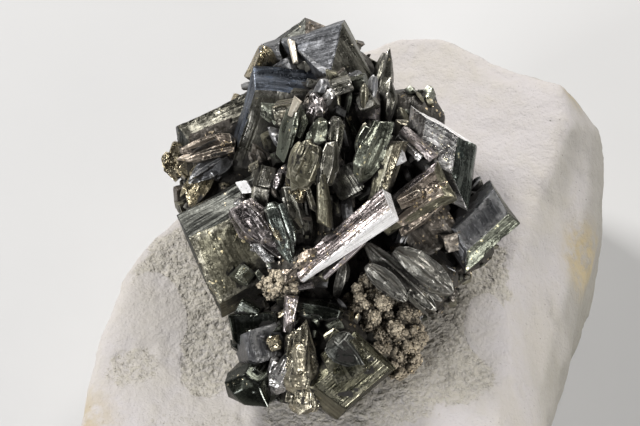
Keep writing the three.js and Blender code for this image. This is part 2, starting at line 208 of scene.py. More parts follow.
@dataclass(frozen=True)
class Noise:
    """Smooth random values on a hashed lattice, the same at each run."""

    seed: int = 0

    def _hash(self, x: Array, y: Array, z: Array) -> Array:
        """Value from -1 to 1 at each lattice point.

        Args:
            x: Whole numbers of the points along X.
            y: The same along Y.
            z: The same along Z.

        Returns:
            The values.
        """
        with np.errstate(over="ignore"):
            mixed = (
                x.astype(np.uint32) * np.uint32(374761393)
                + y.astype(np.uint32) * np.uint32(668265263)
                + z.astype(np.uint32) * np.uint32(2246822519)
                + np.uint32(self.seed * 3266489917 % 2**32)
            )
            mixed = (mixed ^ (mixed >> np.uint32(13))) * np.uint32(1274126177)
            mixed = mixed ^ (mixed >> np.uint32(16))
        return mixed.astype(np.float64) / 2**31 - 1

    def at(self, points: Array) -> Array:
        """Value from -1 to 1 at each point, with cells of unit size.

        Args:
            points: The points as rows.

        Returns:
            The values.
        """
        cell = np.floor(points)
        share = points - cell
        share = share * share * (3 - 2 * share)
        cell = cell.astype(np.int64)
        total = np.zeros(len(points))
        for corner in range(8):
            step = np.array([corner & 1, corner >> 1 & 1, corner >> 2 & 1])
            weight = np.prod(np.where(step, share, 1 - share), axis=1)
            total += weight * self._hash(*(cell + step).T)
        return total

    def fractal(self, points: Array, octaves: int = 4, gain: float = 0.5) -> Array:
        """Sum of octaves, each twice as fine as the last, from about -1 to 1.

        Args:
            points: The points as rows.
            octaves: Number of octaves.
            gain: Height of each octave, as a share of the last.

        Returns:
            The values.
        """
        total, size, whole = np.zeros(len(points)), 1.0, 0.0
        for octave in range(octaves):
            total += size * self.at(points * 2.03**octave + 17.3 * octave)
            whole += size
            size *= gain
        return total / whole

    def blocks(self, points: Array) -> Array:
        """Value from 0 to 1 that is the same all over each of a packing of random blocks.

        Args:
            points: The points as rows.

        Returns:
            The values.
        """
        base = np.floor(points).astype(np.int64)
        best = np.full(len(points), np.inf)
        value = np.zeros(len(points))
        for offset in np.ndindex(3, 3, 3):
            cell = base + np.array(offset) - 1
            jitter = np.stack([self._hash(*(cell + k * 101).T) for k in range(3)], axis=1)
            gap = np.abs(cell + 0.5 + 0.45 * jitter - points).sum(axis=1)
            own = 0.5 + 0.5 * self._hash(*(cell + 707).T)
            value = np.where(gap < best, own, value)
            best = np.minimum(best, gap)
        return value


def smooth(low: float, high: float, value: Array) -> Array:
    """Smooth rise from 0 at low to 1 at high."""
    share = np.clip((value - low) / (high - low), 0, 1)
    return share * share * (3 - 2 * share)


# ---- shader graphs


class Wire:
    """A shader value that takes part in arithmetic."""

    def __init__(self, graph: Graph, socket: bpy.types.NodeSocket) -> None:
        """Wraps a graph's output socket."""
        self.graph = graph
        self.socket = socket

    def __add__(self, other: Wire | float) -> Wire:
        """Sum."""
        return self.graph.maths("ADD", self, other)

    def __mul__(self, other: Wire | float) -> Wire:
        """Product."""
        return self.graph.maths("MULTIPLY", self, other)

    def __sub__(self, other: Wire | float) -> Wire:
        """Difference."""
        return self.graph.maths("SUBTRACT", self, other)

    def __rsub__(self, other: float) -> Wire:
        """Difference from a number."""
        return self.graph.maths("SUBTRACT", other, self)

    __radd__ = __add__
    __rmul__ = __mul__


@dataclass(frozen=True)
class Crystallites:
    """Small crystal grains in a face: the height of their slopes, and a tone for each."""

    height: Wire
    tone: Wire


class Graph:
    """A material's nodes, made by expressions."""

    def __init__(self, name: str) -> None:
        """Starts an empty material.

        Args:
            name: The material's name.
        """
        self.material = bpy.data.materials.new(name)
        self.material.use_nodes = True
        self.tree = self.material.node_tree
        self.tree.nodes.clear()

    def add(
        self,
        kind: str,
        settings: dict[str, Any] | None = None,
        inputs: dict[str | int, Any] | None = None,
        output: str | int = 0,
    ) -> Wire:
        """Adds one node.

        Args:
            kind: The node's type.
            settings: Its properties.
            inputs: Values or wires for its sockets, by name or number.
            output: The socket that the wire comes from.

        Returns:
            Wire from that socket.
        """
        node = self.tree.nodes.new(kind)
        for key, value in (settings or {}).items():
            setattr(node, key, value)
        for key, value in (inputs or {}).items():
            if isinstance(value, Wire):
                self.tree.links.new(value.socket, node.inputs[key])
            else:
                node.inputs[key].default_value = value
        return Wire(self, node.outputs[output])

    def maths(self, operation: str, first: Wire | float, second: Wire | float = 0.0) -> Wire:
        """Math node on two values."""
        return self.add("ShaderNodeMath", {"operation": operation}, {0: first, 1: second})

    def clamp(self, value: Wire) -> Wire:
        """Value held between 0 and 1."""
        settings = {"operation": "ADD", "use_clamp": True}
        return self.add("ShaderNodeMath", settings, {0: value, 1: 0.0})

    def step(self, value: Wire, low: float, high: float) -> Wire:
        """Smooth rise from 0 at low to 1 at high."""
        inputs = {"Value": value, "From Min": low, "From Max": high}
        return self.add("ShaderNodeMapRange", {"interpolation_type": "SMOOTHSTEP"}, inputs)

    def mix(self, share: Wire | float, first: Wire | Colour, second: Wire | Colour) -> Wire:
        """Blend of two colours."""
        inputs = {0: share, 6: opaque(first), 7: opaque(second)}
        return self.add("ShaderNodeMix", {"data_type": "RGBA"}, inputs, 2)

    def attribute(self, name: str, output: str = "Fac") -> Wire:
        """Named layer of the mesh."""
        return self.add("ShaderNodeAttribute", {"attribute_name": name}, {}, output)

    def scaled(self, vector: Wire, scale: Triple) -> Wire:
        """Vector times a scale along each axis."""
        return self.vector("MULTIPLY", vector, scale)

    def place(self) -> Wire:
        """Place on the object, in millimetres."""
        coordinates = self.add("ShaderNodeTexCoord", {}, {}, "Object")
        return self.scaled(coordinates, (1 / MM,) * 3)

    def noise(self, vector: Wire, scale: float, detail: float = 3.0, rough: float = 0.55) -> Wire:
        """Noise from 0 to 1."""
        inputs = {"Vector": vector, "Scale": scale, "Detail": detail, "Roughness": rough}
        return self.add("ShaderNodeTexNoise", {}, inputs)

    def crystallites(self, vector: Wire) -> Crystallites:
        """Random cells of about unit size, each with its own slope and tone.

        Args:
            vector: Place in the pattern.

        Returns:
            Height of the slopes, and the tones.
        """
        inputs = {"Vector": vector, "Scale": 1.0}
        slope = self.add("ShaderNodeTexVoronoi", {}, inputs, "Color")
        centre = Wire(self, slope.socket.node.outputs["Position"])
        away = self.vector("SUBTRACT", vector, centre)
        lean = self.vector("SUBTRACT", slope, (0.5, 0.5, 0.5))
        settings = {"operation": "DOT_PRODUCT"}
        height = self.add("ShaderNodeVectorMath", settings, {0: away, 1: lean}, "Value")
        return Crystallites(height, self.part(slope, "X"))

    def part(self, vector: Wire, axis: str) -> Wire:
        """One part of a vector."""
        return self.add("ShaderNodeSeparateXYZ", {}, {0: vector}, axis)

    def vector(self, operation: str, first: Wire, second: Wire | Triple) -> Wire:
        """Vector math node on two vectors."""
        return self.add("ShaderNodeVectorMath", {"operation": operation}, {0: first, 1: second})

    def bump(self, height: Wire, depth: float, below: Wire | None = None) -> Wire:
        """Normal of a relief of the given depth in millimetres, on top of another."""
        under = {} if below is None else {"Normal": below}
        return self.add("ShaderNodeBump", {}, {"Height": height, "Distance": depth * MM, **under})

    def finish(self, **sockets: Any) -> bpy.types.Material:
        """Closes the material with a principled shader.

        Args:
            **sockets: Its sockets, with underscores for the spaces in their names.

        Returns:
            The finished material.
        """
        inputs = {key.replace("_", " "): value for key, value in sockets.items()}
        shader = self.add("ShaderNodeBsdfPrincipled", {}, inputs)
        self.add_output(shader)
        return self.material

    def add_output(self, shader: Wire) -> None:
        """Joins a shader to the material's surface."""
        node = self.tree.nodes.new("ShaderNodeOutputMaterial")
        self.tree.links.new(shader.socket, node.inputs["Surface"])


def opaque(colour: Wire | Colour) -> Wire | tuple[float, float, float, float]:
    """Colour with full alpha, or a wire as it is."""
    return colour if isinstance(colour, Wire) else (*colour, 1.0)


# ---- finishes


class Surface:
    """Look that keeps one material under its name."""

    name: str

    def material(self) -> bpy.types.Material:
        """The material, made at its first use."""
        return bpy.data.materials.get(self.name) or self._make()

    def _make(self) -> bpy.types.Material:
        """Builds the material."""
        raise NotImplementedError


@dataclass(frozen=True)
class Finish(Surface):
    """Surface of one kind of crystal face.

    Attributes:
        name: The material's name.
        deep: Colour between the striations.
        face: Colour on them.
        film: Tarnish film that lies in patches.
        film_share: How much of the face the film takes, from 0 to 1.
        fleck: Colour of small bright flecks.
        fleck_share: How much of the face has flecks, from 0 to 1.
        edge: Colour of worn edges, which also paints a highlight along them.
        rough: Roughness between the striations' extremes.
        metal: How metallic the clean face is.
        ledge: Depth of the growth steps, in millimetres.
        lump: Depth of the uneven inner face, in millimetres.
        striation: Depth of the fine striations, in millimetres.
        lath: Depth of the laths that the face is made of, in millimetres.
        chip: Depth of the small grains, in millimetres.
        grit: Depth of the finest grain, in millimetres.
        sparkle: How much of the face is broken into small grains, from 0 to 1.
    """

    name: str
    deep: Colour
    face: Colour
    film: Colour
    film_share: float
    fleck: Colour
    fleck_share: float
    edge: Colour
    rough: float = 0.3
    metal: float = 0.92
    ledge: float = 0.05
    lump: float = 0.05
    striation: float = 0.07
    lath: float = 0.2
    chip: float = 0.13
    grit: float = 0.04
    sparkle: float = 0.3

    def _make(self) -> bpy.types.Material:
        """Builds the nodes: laths, striations, film, flecks, worn edges that also carry a painted
        highlight, and crevices darkened by painted shade and dulled as if dirty.

        Returns:
            The material.
        """
        g = Graph(self.name)
        place = g.place()
        grain = g.attribute("grain", "Vector")
        wear = g.attribute("wear")
        crevice = g.attribute("crevice")

        lath = g.crystallites(g.scaled(grain, (1.1, 0.16, 1.0)))
        chip = g.crystallites(g.scaled(place, (2.6, 2.6, 2.6)))
        hair = g.noise(g.scaled(grain, (2.7, 0.08, 1.0)), 1.0, 1.5, 0.5)
        grit = g.noise(place, 1.9, 2.0, 0.6)
        areas = g.noise(place, 0.22, 4.0, 0.6)
        crystal = g.noise(g.scaled(grain, (0.0, 0.0, 5.3)), 1.0, 1.0)

        streak = g.step(0.6 * hair + 0.15 * grit + 0.25 * lath.tone, 0.32, 0.66)
        film_low, film_high = 0.84 - 0.5 * self.film_share, 1.0 - 0.5 * self.film_share
        film = g.step(0.7 * areas + 0.3 * crystal + 0.12 * lath.tone, film_low, film_high)
        rough_area = g.step(areas + 0.25 * grit, 0.5 - 0.3 * self.sparkle, 0.78 - 0.3 * self.sparkle)
        fleck_low = 1.04 - 0.15 * self.fleck_share
        fleck = g.step(chip.tone + 0.5 * (areas - 0.5), fleck_low, fleck_low + 0.03)

        # Painted shade: points hidden from the sky by their neighbours turn near black, and their
        # finish turns duller and less metallic, as if dirty.
        shade_and_dirt = g.step(crevice + 0.35 * (grit - 0.5), 0.3, 0.68)
        light = 0.45 + 0.85 * g.step(areas + 0.3 * crystal, 0.35, 0.95)
        colour = g.mix(g.clamp((0.14 + 0.76 * streak) * light), self.deep, self.face)
        colour = g.mix(film * 0.8, colour, self.film)
        colour = g.mix(fleck * rough_area * 0.9, colour, self.fleck)
        # Edges are lightened along a thin band: partly real wear, partly a painted highlight along the
        # edges.
        line = wear * (1 - g.step(g.part(grain, "X"), 0.05, 0.24))
        rubbed_edge_and_highlight = g.clamp(line * (0.3 + 1.2 * g.step(grit, 0.35, 0.6)))
        colour = g.mix(rubbed_edge_and_highlight * 0.4, colour, self.edge)
        colour = g.mix(shade_and_dirt * 0.95, colour, SHADE_AND_DIRT)

        uneven = 0.22 * (grit - 0.5) + 0.1 * (chip.tone - 0.5) + 0.14 * (lath.tone - 0.5)
        rough = self.rough + uneven + 0.4 * shade_and_dirt - 0.1 * fleck
        metal = self.metal * (1 - 0.85 * shade_and_dirt)
        relief = g.bump(lath.height, self.lath)
        relief = g.bump(hair, 1.1 * self.striation, relief)
        relief = g.bump(chip.height * (0.2 + 0.8 * rough_area), self.chip, relief)
        relief = g.bump(grit, self.grit, relief)
        rough, metal = g.clamp(rough), g.clamp(metal)
        return g.finish(Base_Color=colour, Roughness=rough, Metallic=metal, Normal=relief)


# Near-black colour of the painted shade in crevices, where the finish is also dulled as if dirty.
SHADE_AND_DIRT: Colour = (0.009, 0.007, 0.005)

DARK = Finish(
    "dark_tarnish", (0.045, 0.043, 0.034), (0.25, 0.24, 0.198), (0.12, 0.12, 0.112), 0.4,
    (0.75, 0.66, 0.46), 0.15, (0.55, 0.53, 0.48), rough=0.36, lath=0.1, chip=0.05,
    striation=0.13, sparkle=0.25,
)
GREEN = Finish(
    "green_tarnish", (0.038, 0.041, 0.032), (0.205, 0.213, 0.168), (0.12, 0.135, 0.11), 0.5,
    (0.78, 0.7, 0.42), 0.3, (0.5, 0.52, 0.43), rough=0.34, lath=0.14, chip=0.066,
)
GREY = Finish(
    "grey_face", (0.095, 0.096, 0.1), (0.27, 0.27, 0.275), (0.16, 0.17, 0.19), 0.4,
    (0.8, 0.74, 0.58), 0.12, (0.6, 0.59, 0.57), rough=0.38, ledge=0.03, lath=0.06, chip=0.04,
    striation=0.08, sparkle=0.2,
)
STEEL = Finish(
    "steel_grey_face", (0.07, 0.072, 0.077), (0.21, 0.215, 0.226), (0.125, 0.138, 0.162), 0.45,
    (0.7, 0.66, 0.55), 0.1, (0.55, 0.55, 0.55), rough=0.42, ledge=0.02, lath=0.06, chip=0.04,
    striation=0.09, sparkle=0.2,
)
BLUE = Finish(
    "blue_film", (0.035, 0.04, 0.048), (0.165, 0.182, 0.215), (0.075, 0.115, 0.185), 0.6,
    (0.6, 0.58, 0.5), 0.1, (0.5, 0.55, 0.6), rough=0.36, lath=0.08, chip=0.039,
    striation=0.09, sparkle=0.15,
)
OLIVE = Finish(
    "olive_face", (0.085, 0.079, 0.056), (0.25, 0.234, 0.168), (0.15, 0.147, 0.11), 0.45,
    (0.85, 0.72, 0.42), 0.28, (0.5, 0.47, 0.38), rough=0.4, ledge=0.02, lump=0.1, lath=0.06,
    chip=0.088, striation=0.04, sparkle=0.55,
)
BRASS = Finish(
    "brassy_face", (0.06, 0.048, 0.03), (0.46, 0.39, 0.25), (0.2, 0.165, 0.12), 0.5,
    (1.0, 0.86, 0.55), 0.6, (0.8, 0.72, 0.54), rough=0.26, ledge=0.08, lump=0.09, sparkle=0.8,
)
LILAC = Finish(
    "lilac_face", (0.06, 0.053, 0.052), (0.4, 0.355, 0.345), (0.21, 0.18, 0.165), 0.45,
    (0.9, 0.76, 0.52), 0.5, (0.66, 0.62, 0.6), rough=0.3,
)
ROSE = Finish(
    "rose_face", (0.1, 0.085, 0.083), (0.72, 0.635, 0.625), (0.36, 0.3, 0.285), 0.35,
    (1.0, 0.84, 0.58), 0.55, (0.85, 0.8, 0.78), rough=0.32, lath=0.16, chip=0.066, striation=0.09,
)
PALE_BRASS = Finish(
    "pale_brass_face", (0.05, 0.046, 0.033), (0.62, 0.56, 0.42), (0.17, 0.155, 0.12), 0.6,
    (1.0, 0.9, 0.64), 0.4, (0.84, 0.78, 0.62), rough=0.3, ledge=0.1, lump=0.12, lath=0.3, chip=0.1,
    striation=0.12, sparkle=0.7,
)
SILVER = Finish(
    "silver_face", (0.12, 0.117, 0.113), (0.74, 0.715, 0.69), (0.3, 0.288, 0.28), 0.4,
    (1.0, 0.93, 0.74), 0.6, (0.85, 0.84, 0.82), rough=0.3, lump=0.08, lath=0.24, chip=0.061,
    sparkle=0.4,
)
TAN = Finish(
    "tan_face", (0.09, 0.08, 0.058), (0.42, 0.385, 0.29), (0.25, 0.235, 0.17), 0.4,
    (0.9, 0.82, 0.55), 0.4, (0.68, 0.65, 0.55), rough=0.3,
)
BROWN = Finish(
    "brown_face", (0.04, 0.034, 0.027), (0.2, 0.172, 0.142), (0.11, 0.093, 0.076), 0.5,
    (0.7, 0.56, 0.36), 0.45, (0.36, 0.33, 0.29), rough=0.42, metal=0.65, lump=0.18, sparkle=0.8,
)
ROOT = Finish(
    "root_mass", (0.02, 0.018, 0.015), (0.1, 0.09, 0.075), (0.05, 0.045, 0.038), 0.5,
    (0.5, 0.4, 0.25), 0.35, (0.16, 0.15, 0.13), rough=0.5, metal=0.5, sparkle=1.0,
)
DIM = Finish(
    "dim_tarnish", (0.026, 0.027, 0.024), (0.1, 0.101, 0.09), (0.055, 0.058, 0.054), 0.4,
    (0.6, 0.52, 0.36), 0.1, (0.26, 0.26, 0.24), rough=0.42, lath=0.1, chip=0.04, striation=0.12,
    sparkle=0.2,
)
MOSS = Finish(
    "dark_moss_face", (0.026, 0.026, 0.017), (0.17, 0.162, 0.112), (0.085, 0.084, 0.06), 0.5,
    (0.7, 0.64, 0.42), 0.3, (0.4, 0.38, 0.29), rough=0.3, ledge=0.02, lump=0.04, lath=0.07,
    chip=0.04, striation=0.06, grit=0.02, sparkle=0.25,
)
BLACK = Finish(
    "glassy_black", (0.01, 0.011, 0.009), (0.05, 0.054, 0.042), (0.024, 0.026, 0.022), 0.5,
    (0.7, 0.62, 0.44), 0.2, (0.2, 0.21, 0.19), rough=0.24, ledge=0.01, lump=0.0, lath=0.03, chip=0.0,
    striation=0.02, grit=0.01, sparkle=0.1,
)
SHEAF = Finish(
    "layered_grey", (0.095, 0.092, 0.081), (0.47, 0.453, 0.402), (0.28, 0.27, 0.243), 0.4,
    (0.6, 0.53, 0.4), 0.1, (0.6, 0.58, 0.53), rough=0.41, ledge=0.2, lump=0.06, chip=0.06,
    lath=0.24, striation=0.18, sparkle=0.3,
)
TEAL = Finish(
    "teal_film", (0.036, 0.042, 0.037), (0.19, 0.205, 0.18), (0.105, 0.145, 0.135), 0.5,
    (0.75, 0.72, 0.5), 0.3, (0.48, 0.51, 0.46), rough=0.28, lump=0.0, chip=0.02, lath=0.08,
    sparkle=0.1,
)
# Painted highlight: a near-white, mostly diffuse face that stands for the lamps' reflection on facets
# that catch it.
PAINTED_HIGHLIGHT = Finish(
    "painted_highlight_face", (0.6, 0.58, 0.57), (0.96, 0.95, 0.94), (0.8, 0.78, 0.77), 0.2,
    (1.0, 0.97, 0.9), 0.2, (0.97, 0.97, 0.96), rough=0.3, metal=0.25, ledge=0.04, lump=0.03,
    lath=0.08, chip=0.022,
)
# Painted highlight: a pale cream, mostly diffuse face for thin bright streaks on the crystals.
PAINTED_CREAM_HIGHLIGHT = Finish(
    "cream_painted_highlight", (0.36, 0.32, 0.25), (0.72, 0.655, 0.54), (0.54, 0.48, 0.38), 0.3,
    (1.0, 0.93, 0.75), 0.3, (0.9, 0.86, 0.78), rough=0.36, metal=0.3, ledge=0.04, lump=0.05,
    lath=0.08, chip=0.04,
)
OCHRE = Finish(
    "ochre_face", (0.06, 0.049, 0.038), (0.33, 0.275, 0.225), (0.25, 0.185, 0.12), 0.4,
    (0.85, 0.66, 0.38), 0.5, (0.56, 0.49, 0.4), rough=0.36, metal=0.8, lump=0.12, sparkle=0.6,
)


# ---- meshes


class MeshBag:
    """Triangles of many bodies, gathered for one piece."""

    def __init__(self) -> None:
        """Starts with nothing."""
        self.points: list[Array] = []
        self.faces: list[Array] = []
        self.finishes: list[list[Surface]] = []
        self.layers: dict[str, list[Array]] = {"grain": [], "wear": []}
        self.count = 0

    def add(
        self,
        points: Array,
        faces: Array,
        finishes: list[Surface],
        grain: Array | None = None,
        wear: Array | None = None,
    ) -> None:
        """Adds one body.

        Args:
            points: Its points in the row frame, in millimetres.
            faces: Its triangles.
            finishes: The finish of each triangle.
            grain: Distance from the nearest edge, place along it and the body's own number.
            wear: How worn each point of a crystal is, which also sets its painted edge highlight, or
                how light one of the crust is.
        """
        self.points.append(points)
        self.faces.append(faces + self.count)
        self.finishes.append(finishes)
        self.layers["grain"].append(points if grain is None else grain)
        self.layers["wear"].append(np.zeros(len(points)) if wear is None else wear)
        self.count += len(points)

    def piece(self, name: str, crease: float = 25.0) -> bpy.types.Object:
        """One Blender object of everything in the bag.

        Args:
            name: The object's name.
            crease: Degrees between two faces above which the edge stays sharp.

        Returns:
            The new object, in the row frame.
        """
        points = np.concatenate(self.points) * MM
        faces = np.concatenate(self.faces)
        finishes = [finish for body in self.finishes for finish in body]
        mesh = bpy.data.meshes.new(name)
        mesh.from_pydata(points.tolist(), [], faces.tolist())
        order = list(dict.fromkeys(finishes))
        for finish in order:
            mesh.materials.append(finish.material())
        number = {finish: i for i, finish in enumerate(order)}
        mesh.polygons.foreach_set("material_index", [number[f] for f in finishes])
        for layer, values in self.layers.items():
            store(mesh, layer, np.concatenate(values))
        mesh.shade_smooth()
        mesh.set_sharp_from_angle(angle=math.radians(crease))
        mesh.validate()
        log.info("%s: %d triangles", name, len(mesh.polygons))
        return linked(name, mesh)


# Millimetres within which corners are one, radians within which faces are one, and radians above
# which an edge is sharp enough to be worn round.
MERGED = 1e-4
FLAT = 0.02
SHARP = 0.4
# Sine of the smallest angle between two faces whose shared edge counts for distances.
LEAST_SINE = 0.42
# Distance in millimetres that stands for no edge at all, and the longest one that is kept.
NOWHERE = 1e3
FARTHEST = 30
# Rounds of halving that a mesh gets at most.
MOST_ROUNDS = 8


def triangles_of(bm: bmesh.types.BMesh) -> tuple[Array, Array]:
    """Points and triangles of a bmesh whose faces are triangles.

    Args:
        bm: The bmesh.

    Returns:
        Its points, and the numbers of each triangle's three.
    """
    bm.verts.index_update()
    points = np.array([v.co for v in bm.verts])
    faces = np.array([[v.index for v in f.verts] for f in bm.faces])
    return points, faces


def hull_of(corners: Array) -> bmesh.types.BMesh:
    """Convex hull of points, with its flat faces whole.

    Args:
        corners: The points as rows.

    Returns:
        The hull as a new bmesh.
    """
    bm = bmesh.new()
    for corner in corners:
        bm.verts.new(corner)
    bmesh.ops.remove_doubles(bm, verts=bm.verts, dist=MERGED)
    made = bmesh.ops.convex_hull(bm, input=bm.verts)
    inner = set(made["geom_interior"] + made["geom_unused"])
    bmesh.ops.delete(bm, geom=[v for v in bm.verts if v in inner], context="VERTS")
    bmesh.ops.dissolve_limit(bm, angle_limit=FLAT, verts=bm.verts, edges=bm.edges)
    bmesh.ops.recalc_face_normals(bm, faces=bm.faces)
    return bm


def split_long(points: Array, faces: Array, longest: EdgeRule) -> tuple[Array, Array]:
    """Splits edges in half until none is too long.

    Args:
        points: Points of the mesh.
        faces: Its triangles.
        longest: Longest edge wanted near each point, from the points and their normals.

    Returns:
        Points and triangles of the finer mesh.
    """
    for _ in range(MOST_ROUNDS):
        pairs = np.sort(faces[:, [[0, 1], [1, 2], [2, 0]]], axis=2)
        edges, own = np.unique(pairs.reshape(-1, 2), axis=0, return_inverse=True)
        own = own.reshape(-1, 3)
        first, second, third = (points[faces[:, k]] for k in range(3))
        flat = unit_rows(np.cross(second - first, third - first), 1e-9)
        facing = np.zeros((len(edges), 3))
        for k in range(3):
            np.add.at(facing, own[:, k], flat)
        middles = points[edges].mean(axis=1)
        length = np.linalg.norm(points[edges[:, 0]] - points[edges[:, 1]], axis=1)
        split = length > longest(middles, facing)
        if not split.any():
            break
        number = np.cumsum(split) - 1 + len(points)
        points = np.concatenate([points, middles[split]])
        marks = split[own]
        halves = number[own]
        made = [faces[~marks.any(axis=1)]]
        count = marks.sum(axis=1)
        for turn in range(3):
            v = np.roll(faces, -turn, axis=1)
            m = np.roll(halves, -turn, axis=1)
            k = np.roll(marks, -turn, axis=1)
            one = (count == 1) & k[:, 0]
            two = (count == 2) & ~k[:, 2]
            made += [
                np.stack([v[one, 0], m[one, 0], v[one, 2]], 1),
                np.stack([m[one, 0], v[one, 1], v[one, 2]], 1),
                np.stack([m[two, 0], v[two, 1], m[two, 1]], 1),
                np.stack([v[two, 0], m[two, 0], m[two, 1]], 1),
                np.stack([v[two, 0], m[two, 1], v[two, 2]], 1),
            ]
        v, m = faces[count == 3], halves[count == 3]
        made += [
            np.stack([v[:, 0], m[:, 0], m[:, 2]], 1),
            np.stack([m[:, 0], v[:, 1], m[:, 1]], 1),
            np.stack([m[:, 2], m[:, 1], v[:, 2]], 1),
            m,
        ]
        faces = np.concatenate(made)
    return points, faces


@dataclass
class Facets:
    """Fine mesh of a convex form, and each point's place on its face.

    Attributes:
        points: Points in the form's own frame.
        faces: Triangles.
        normal: Outward normal of the face that each point lies on.
        edge: Distance from each point to the nearest sharp edge of that face.
        along: Place along that edge.
        facing: Outward normal of each triangle's face.
    """

    points: Array
    faces: Array
    normal: Array
    edge: Array
    along: Array
    facing: Array

    @classmethod
    def of(cls, corners: Array, rounding: float, longest: EdgeRule) -> Facets:
        """Meshes the hull of corners.

        Args:
            corners: Points whose convex hull is the form.
            rounding: Width of the worn edges.
            longest: Longest edge wanted near each point, from the points and their normals.

        Returns:
            The fine mesh.
        """
        bm = hull_of(corners)
        normals = np.array([f.normal for f in bm.faces])
        offsets = np.array([f.normal.dot(f.verts[0].co) for f in bm.faces])
        if rounding:
            sharp = [e for e in bm.edges if e.calc_face_angle(0) > SHARP]
            bmesh.ops.bevel(
                bm, geom=sharp, offset=rounding, segments=1, profile=0.5, affect="EDGES",
                clamp_overlap=True,
            )
        bmesh.ops.triangulate(bm, faces=bm.faces)
        points, faces = split_long(*triangles_of(bm), longest)
        bm.free()

        inside = offsets - points @ normals.T
        owner = inside.argmin(axis=1)
        sine = np.sqrt(np.clip(1 - (normals @ normals.T) ** 2, 0, 1))[owner]
        reach = np.where(sine > LEAST_SINE, inside / np.maximum(sine, LEAST_SINE), NOWHERE)
        row = np.arange(len(points))
        reach[row, owner] = NOWHERE
        nearest = reach.argmin(axis=1)
        edge = np.clip(reach[row, nearest], 0, FARTHEST)
        direction = unit_rows(np.cross(normals[owner], normals[nearest]))
        along = np.einsum("ij,ij->i", points, direction)
        middle = points[faces].mean(axis=1)
        face_owner = (offsets - middle @ normals.T).argmin(axis=1)
        return cls(points, faces, normals[owner], edge, along, normals[face_owner])


# ---- crystals


class Form(Enum):
    """Crystal habits."""

    TABLET = "tablet"
    BLOCK = "block"
    BAR = "bar"
    SPEAR = "spear"
    LENS = "lens"
    PRISM = "prism"
    DROP = "drop"


def plate_corners(outline: Sequence[Pair], inset: Sequence[Pair], thick: float, rim: float) -> Array:
    """Corners of a plate that is thinner at its outline than within its inset."""
    levels = [(place, rim) for place in outline] + [(place, 1.0) for place in inset]
    return np.array([(*p, sign * share * thick / 2) for p, share in levels for sign in (1, -1)])


def slanted(half: float, a: float, b: float) -> Pair:
    """Point that lies a and b along the two sides of a corner at the origin."""
    return -math.cos(half) * (a + b), math.sin(half) * (a - b)


def tablet_corners(
    rng: Draws,
    side_a: float,
    side_b: float,
    thick: float,
    bevel: float,
    angle: float,
    share: float = 0.55,
) -> Array:
    """Tablet with its corner at the origin.

    Args:
        rng: Random draws for its unevenness.
        side_a: Length of the first of its two sides.
        side_b: Length of the second.
        thick: Its thickness.
        bevel: Width of the bevel along the second side.
        angle: Degrees between the two sides.
        share: Width of the bevel along the first side, as a share of the other.

    Returns:
        The corners, with the outer one at the origin.
    """
    half = math.radians(angle) / 2
    wide = min(bevel / math.sin(2 * half), 0.45 * min(side_a, side_b))
    slim = share * wide
    far_a, far_b = side_a - wide, side_b - wide
    outline = [(0, 0), (side_a, 0), (side_a, side_b), (0, side_b)]
    inset = [(wide, slim), (far_a, slim), (far_a, far_b), (wide, far_b)]
    rows = [[slanted(half, *p) for p in group] for group in (outline, inset)]
    corners = plate_corners(*rows, thick, 0.3)
    return corners + rng.normal(scale=0.012 * min(side_a, side_b), size=corners.shape)


def block_corners(
    rng: Draws, side_a: float, side_b: float, thick: float, cut: float, angle: float
) -> Array:
    """Stubby block with all its corners cut unevenly.

    Args:
        rng: Random draws for its unevenness.
        side_a: Length of the first of its two sides.
        side_b: Length of the second.
        thick: Its thickness.
        cut: About how far its corners are cut.
        angle: Degrees between the two sides.

    Returns:
        The corners, with the outer one at the origin before its cut.
    """
    half = math.radians(angle) / 2
    rows = []
    for i, j, k in np.ndindex(2, 2, 2):
        for axis in range(3):
            share = np.array([i, j, k], float)
            size = (side_a, side_b, thick)[axis]
            inward = min(cut * rng.uniform(0.2, 1.3) / size, 0.45)
            share[axis] += -inward if share[axis] else inward
            share += rng.normal(scale=0.03, size=3)
            flat = slanted(half, share[0] * side_a, share[1] * side_b)
            rows.append((*flat, (share[2] - 0.5) * thick))
    return np.array(rows)


def bar_corners(
    rng: Draws,
    length: float,
    width: float,
    thick: float,
    bevel: float,
    slant: float,
    taper: float = 0.68,
) -> Array:
    """Bar lying back from the origin, narrower at its root.

    Args:
        rng: Random draws for its unevenness.
        length: Its length.
        width: Its breadth.
        thick: Its thickness.
        bevel: Width of its bevels.
        slant: How far its end slants.
        taper: Thickness of the root, as a share of the end's.

    Returns:
        The corners, with the end at the origin.
    """
    narrowing = 0.68
    half = width / 2
    inner = half - bevel
    rim_root, face_root = half * narrowing, inner * narrowing
    outline = [(0, half), (-slant, -half), (-length, -rim_root), (-length, rim_root)]
    inset = [
        (-bevel, inner), (-slant - bevel, -inner), (-length, -face_root), (-length, face_root),
    ]
    corners = plate_corners(outline, inset, thick, 0.5)
    corners[:, 2] *= np.where(corners[:, 0] < -0.6 * length, taper, 1)
    return corners + rng.normal(scale=0.025 * width, size=corners.shape)


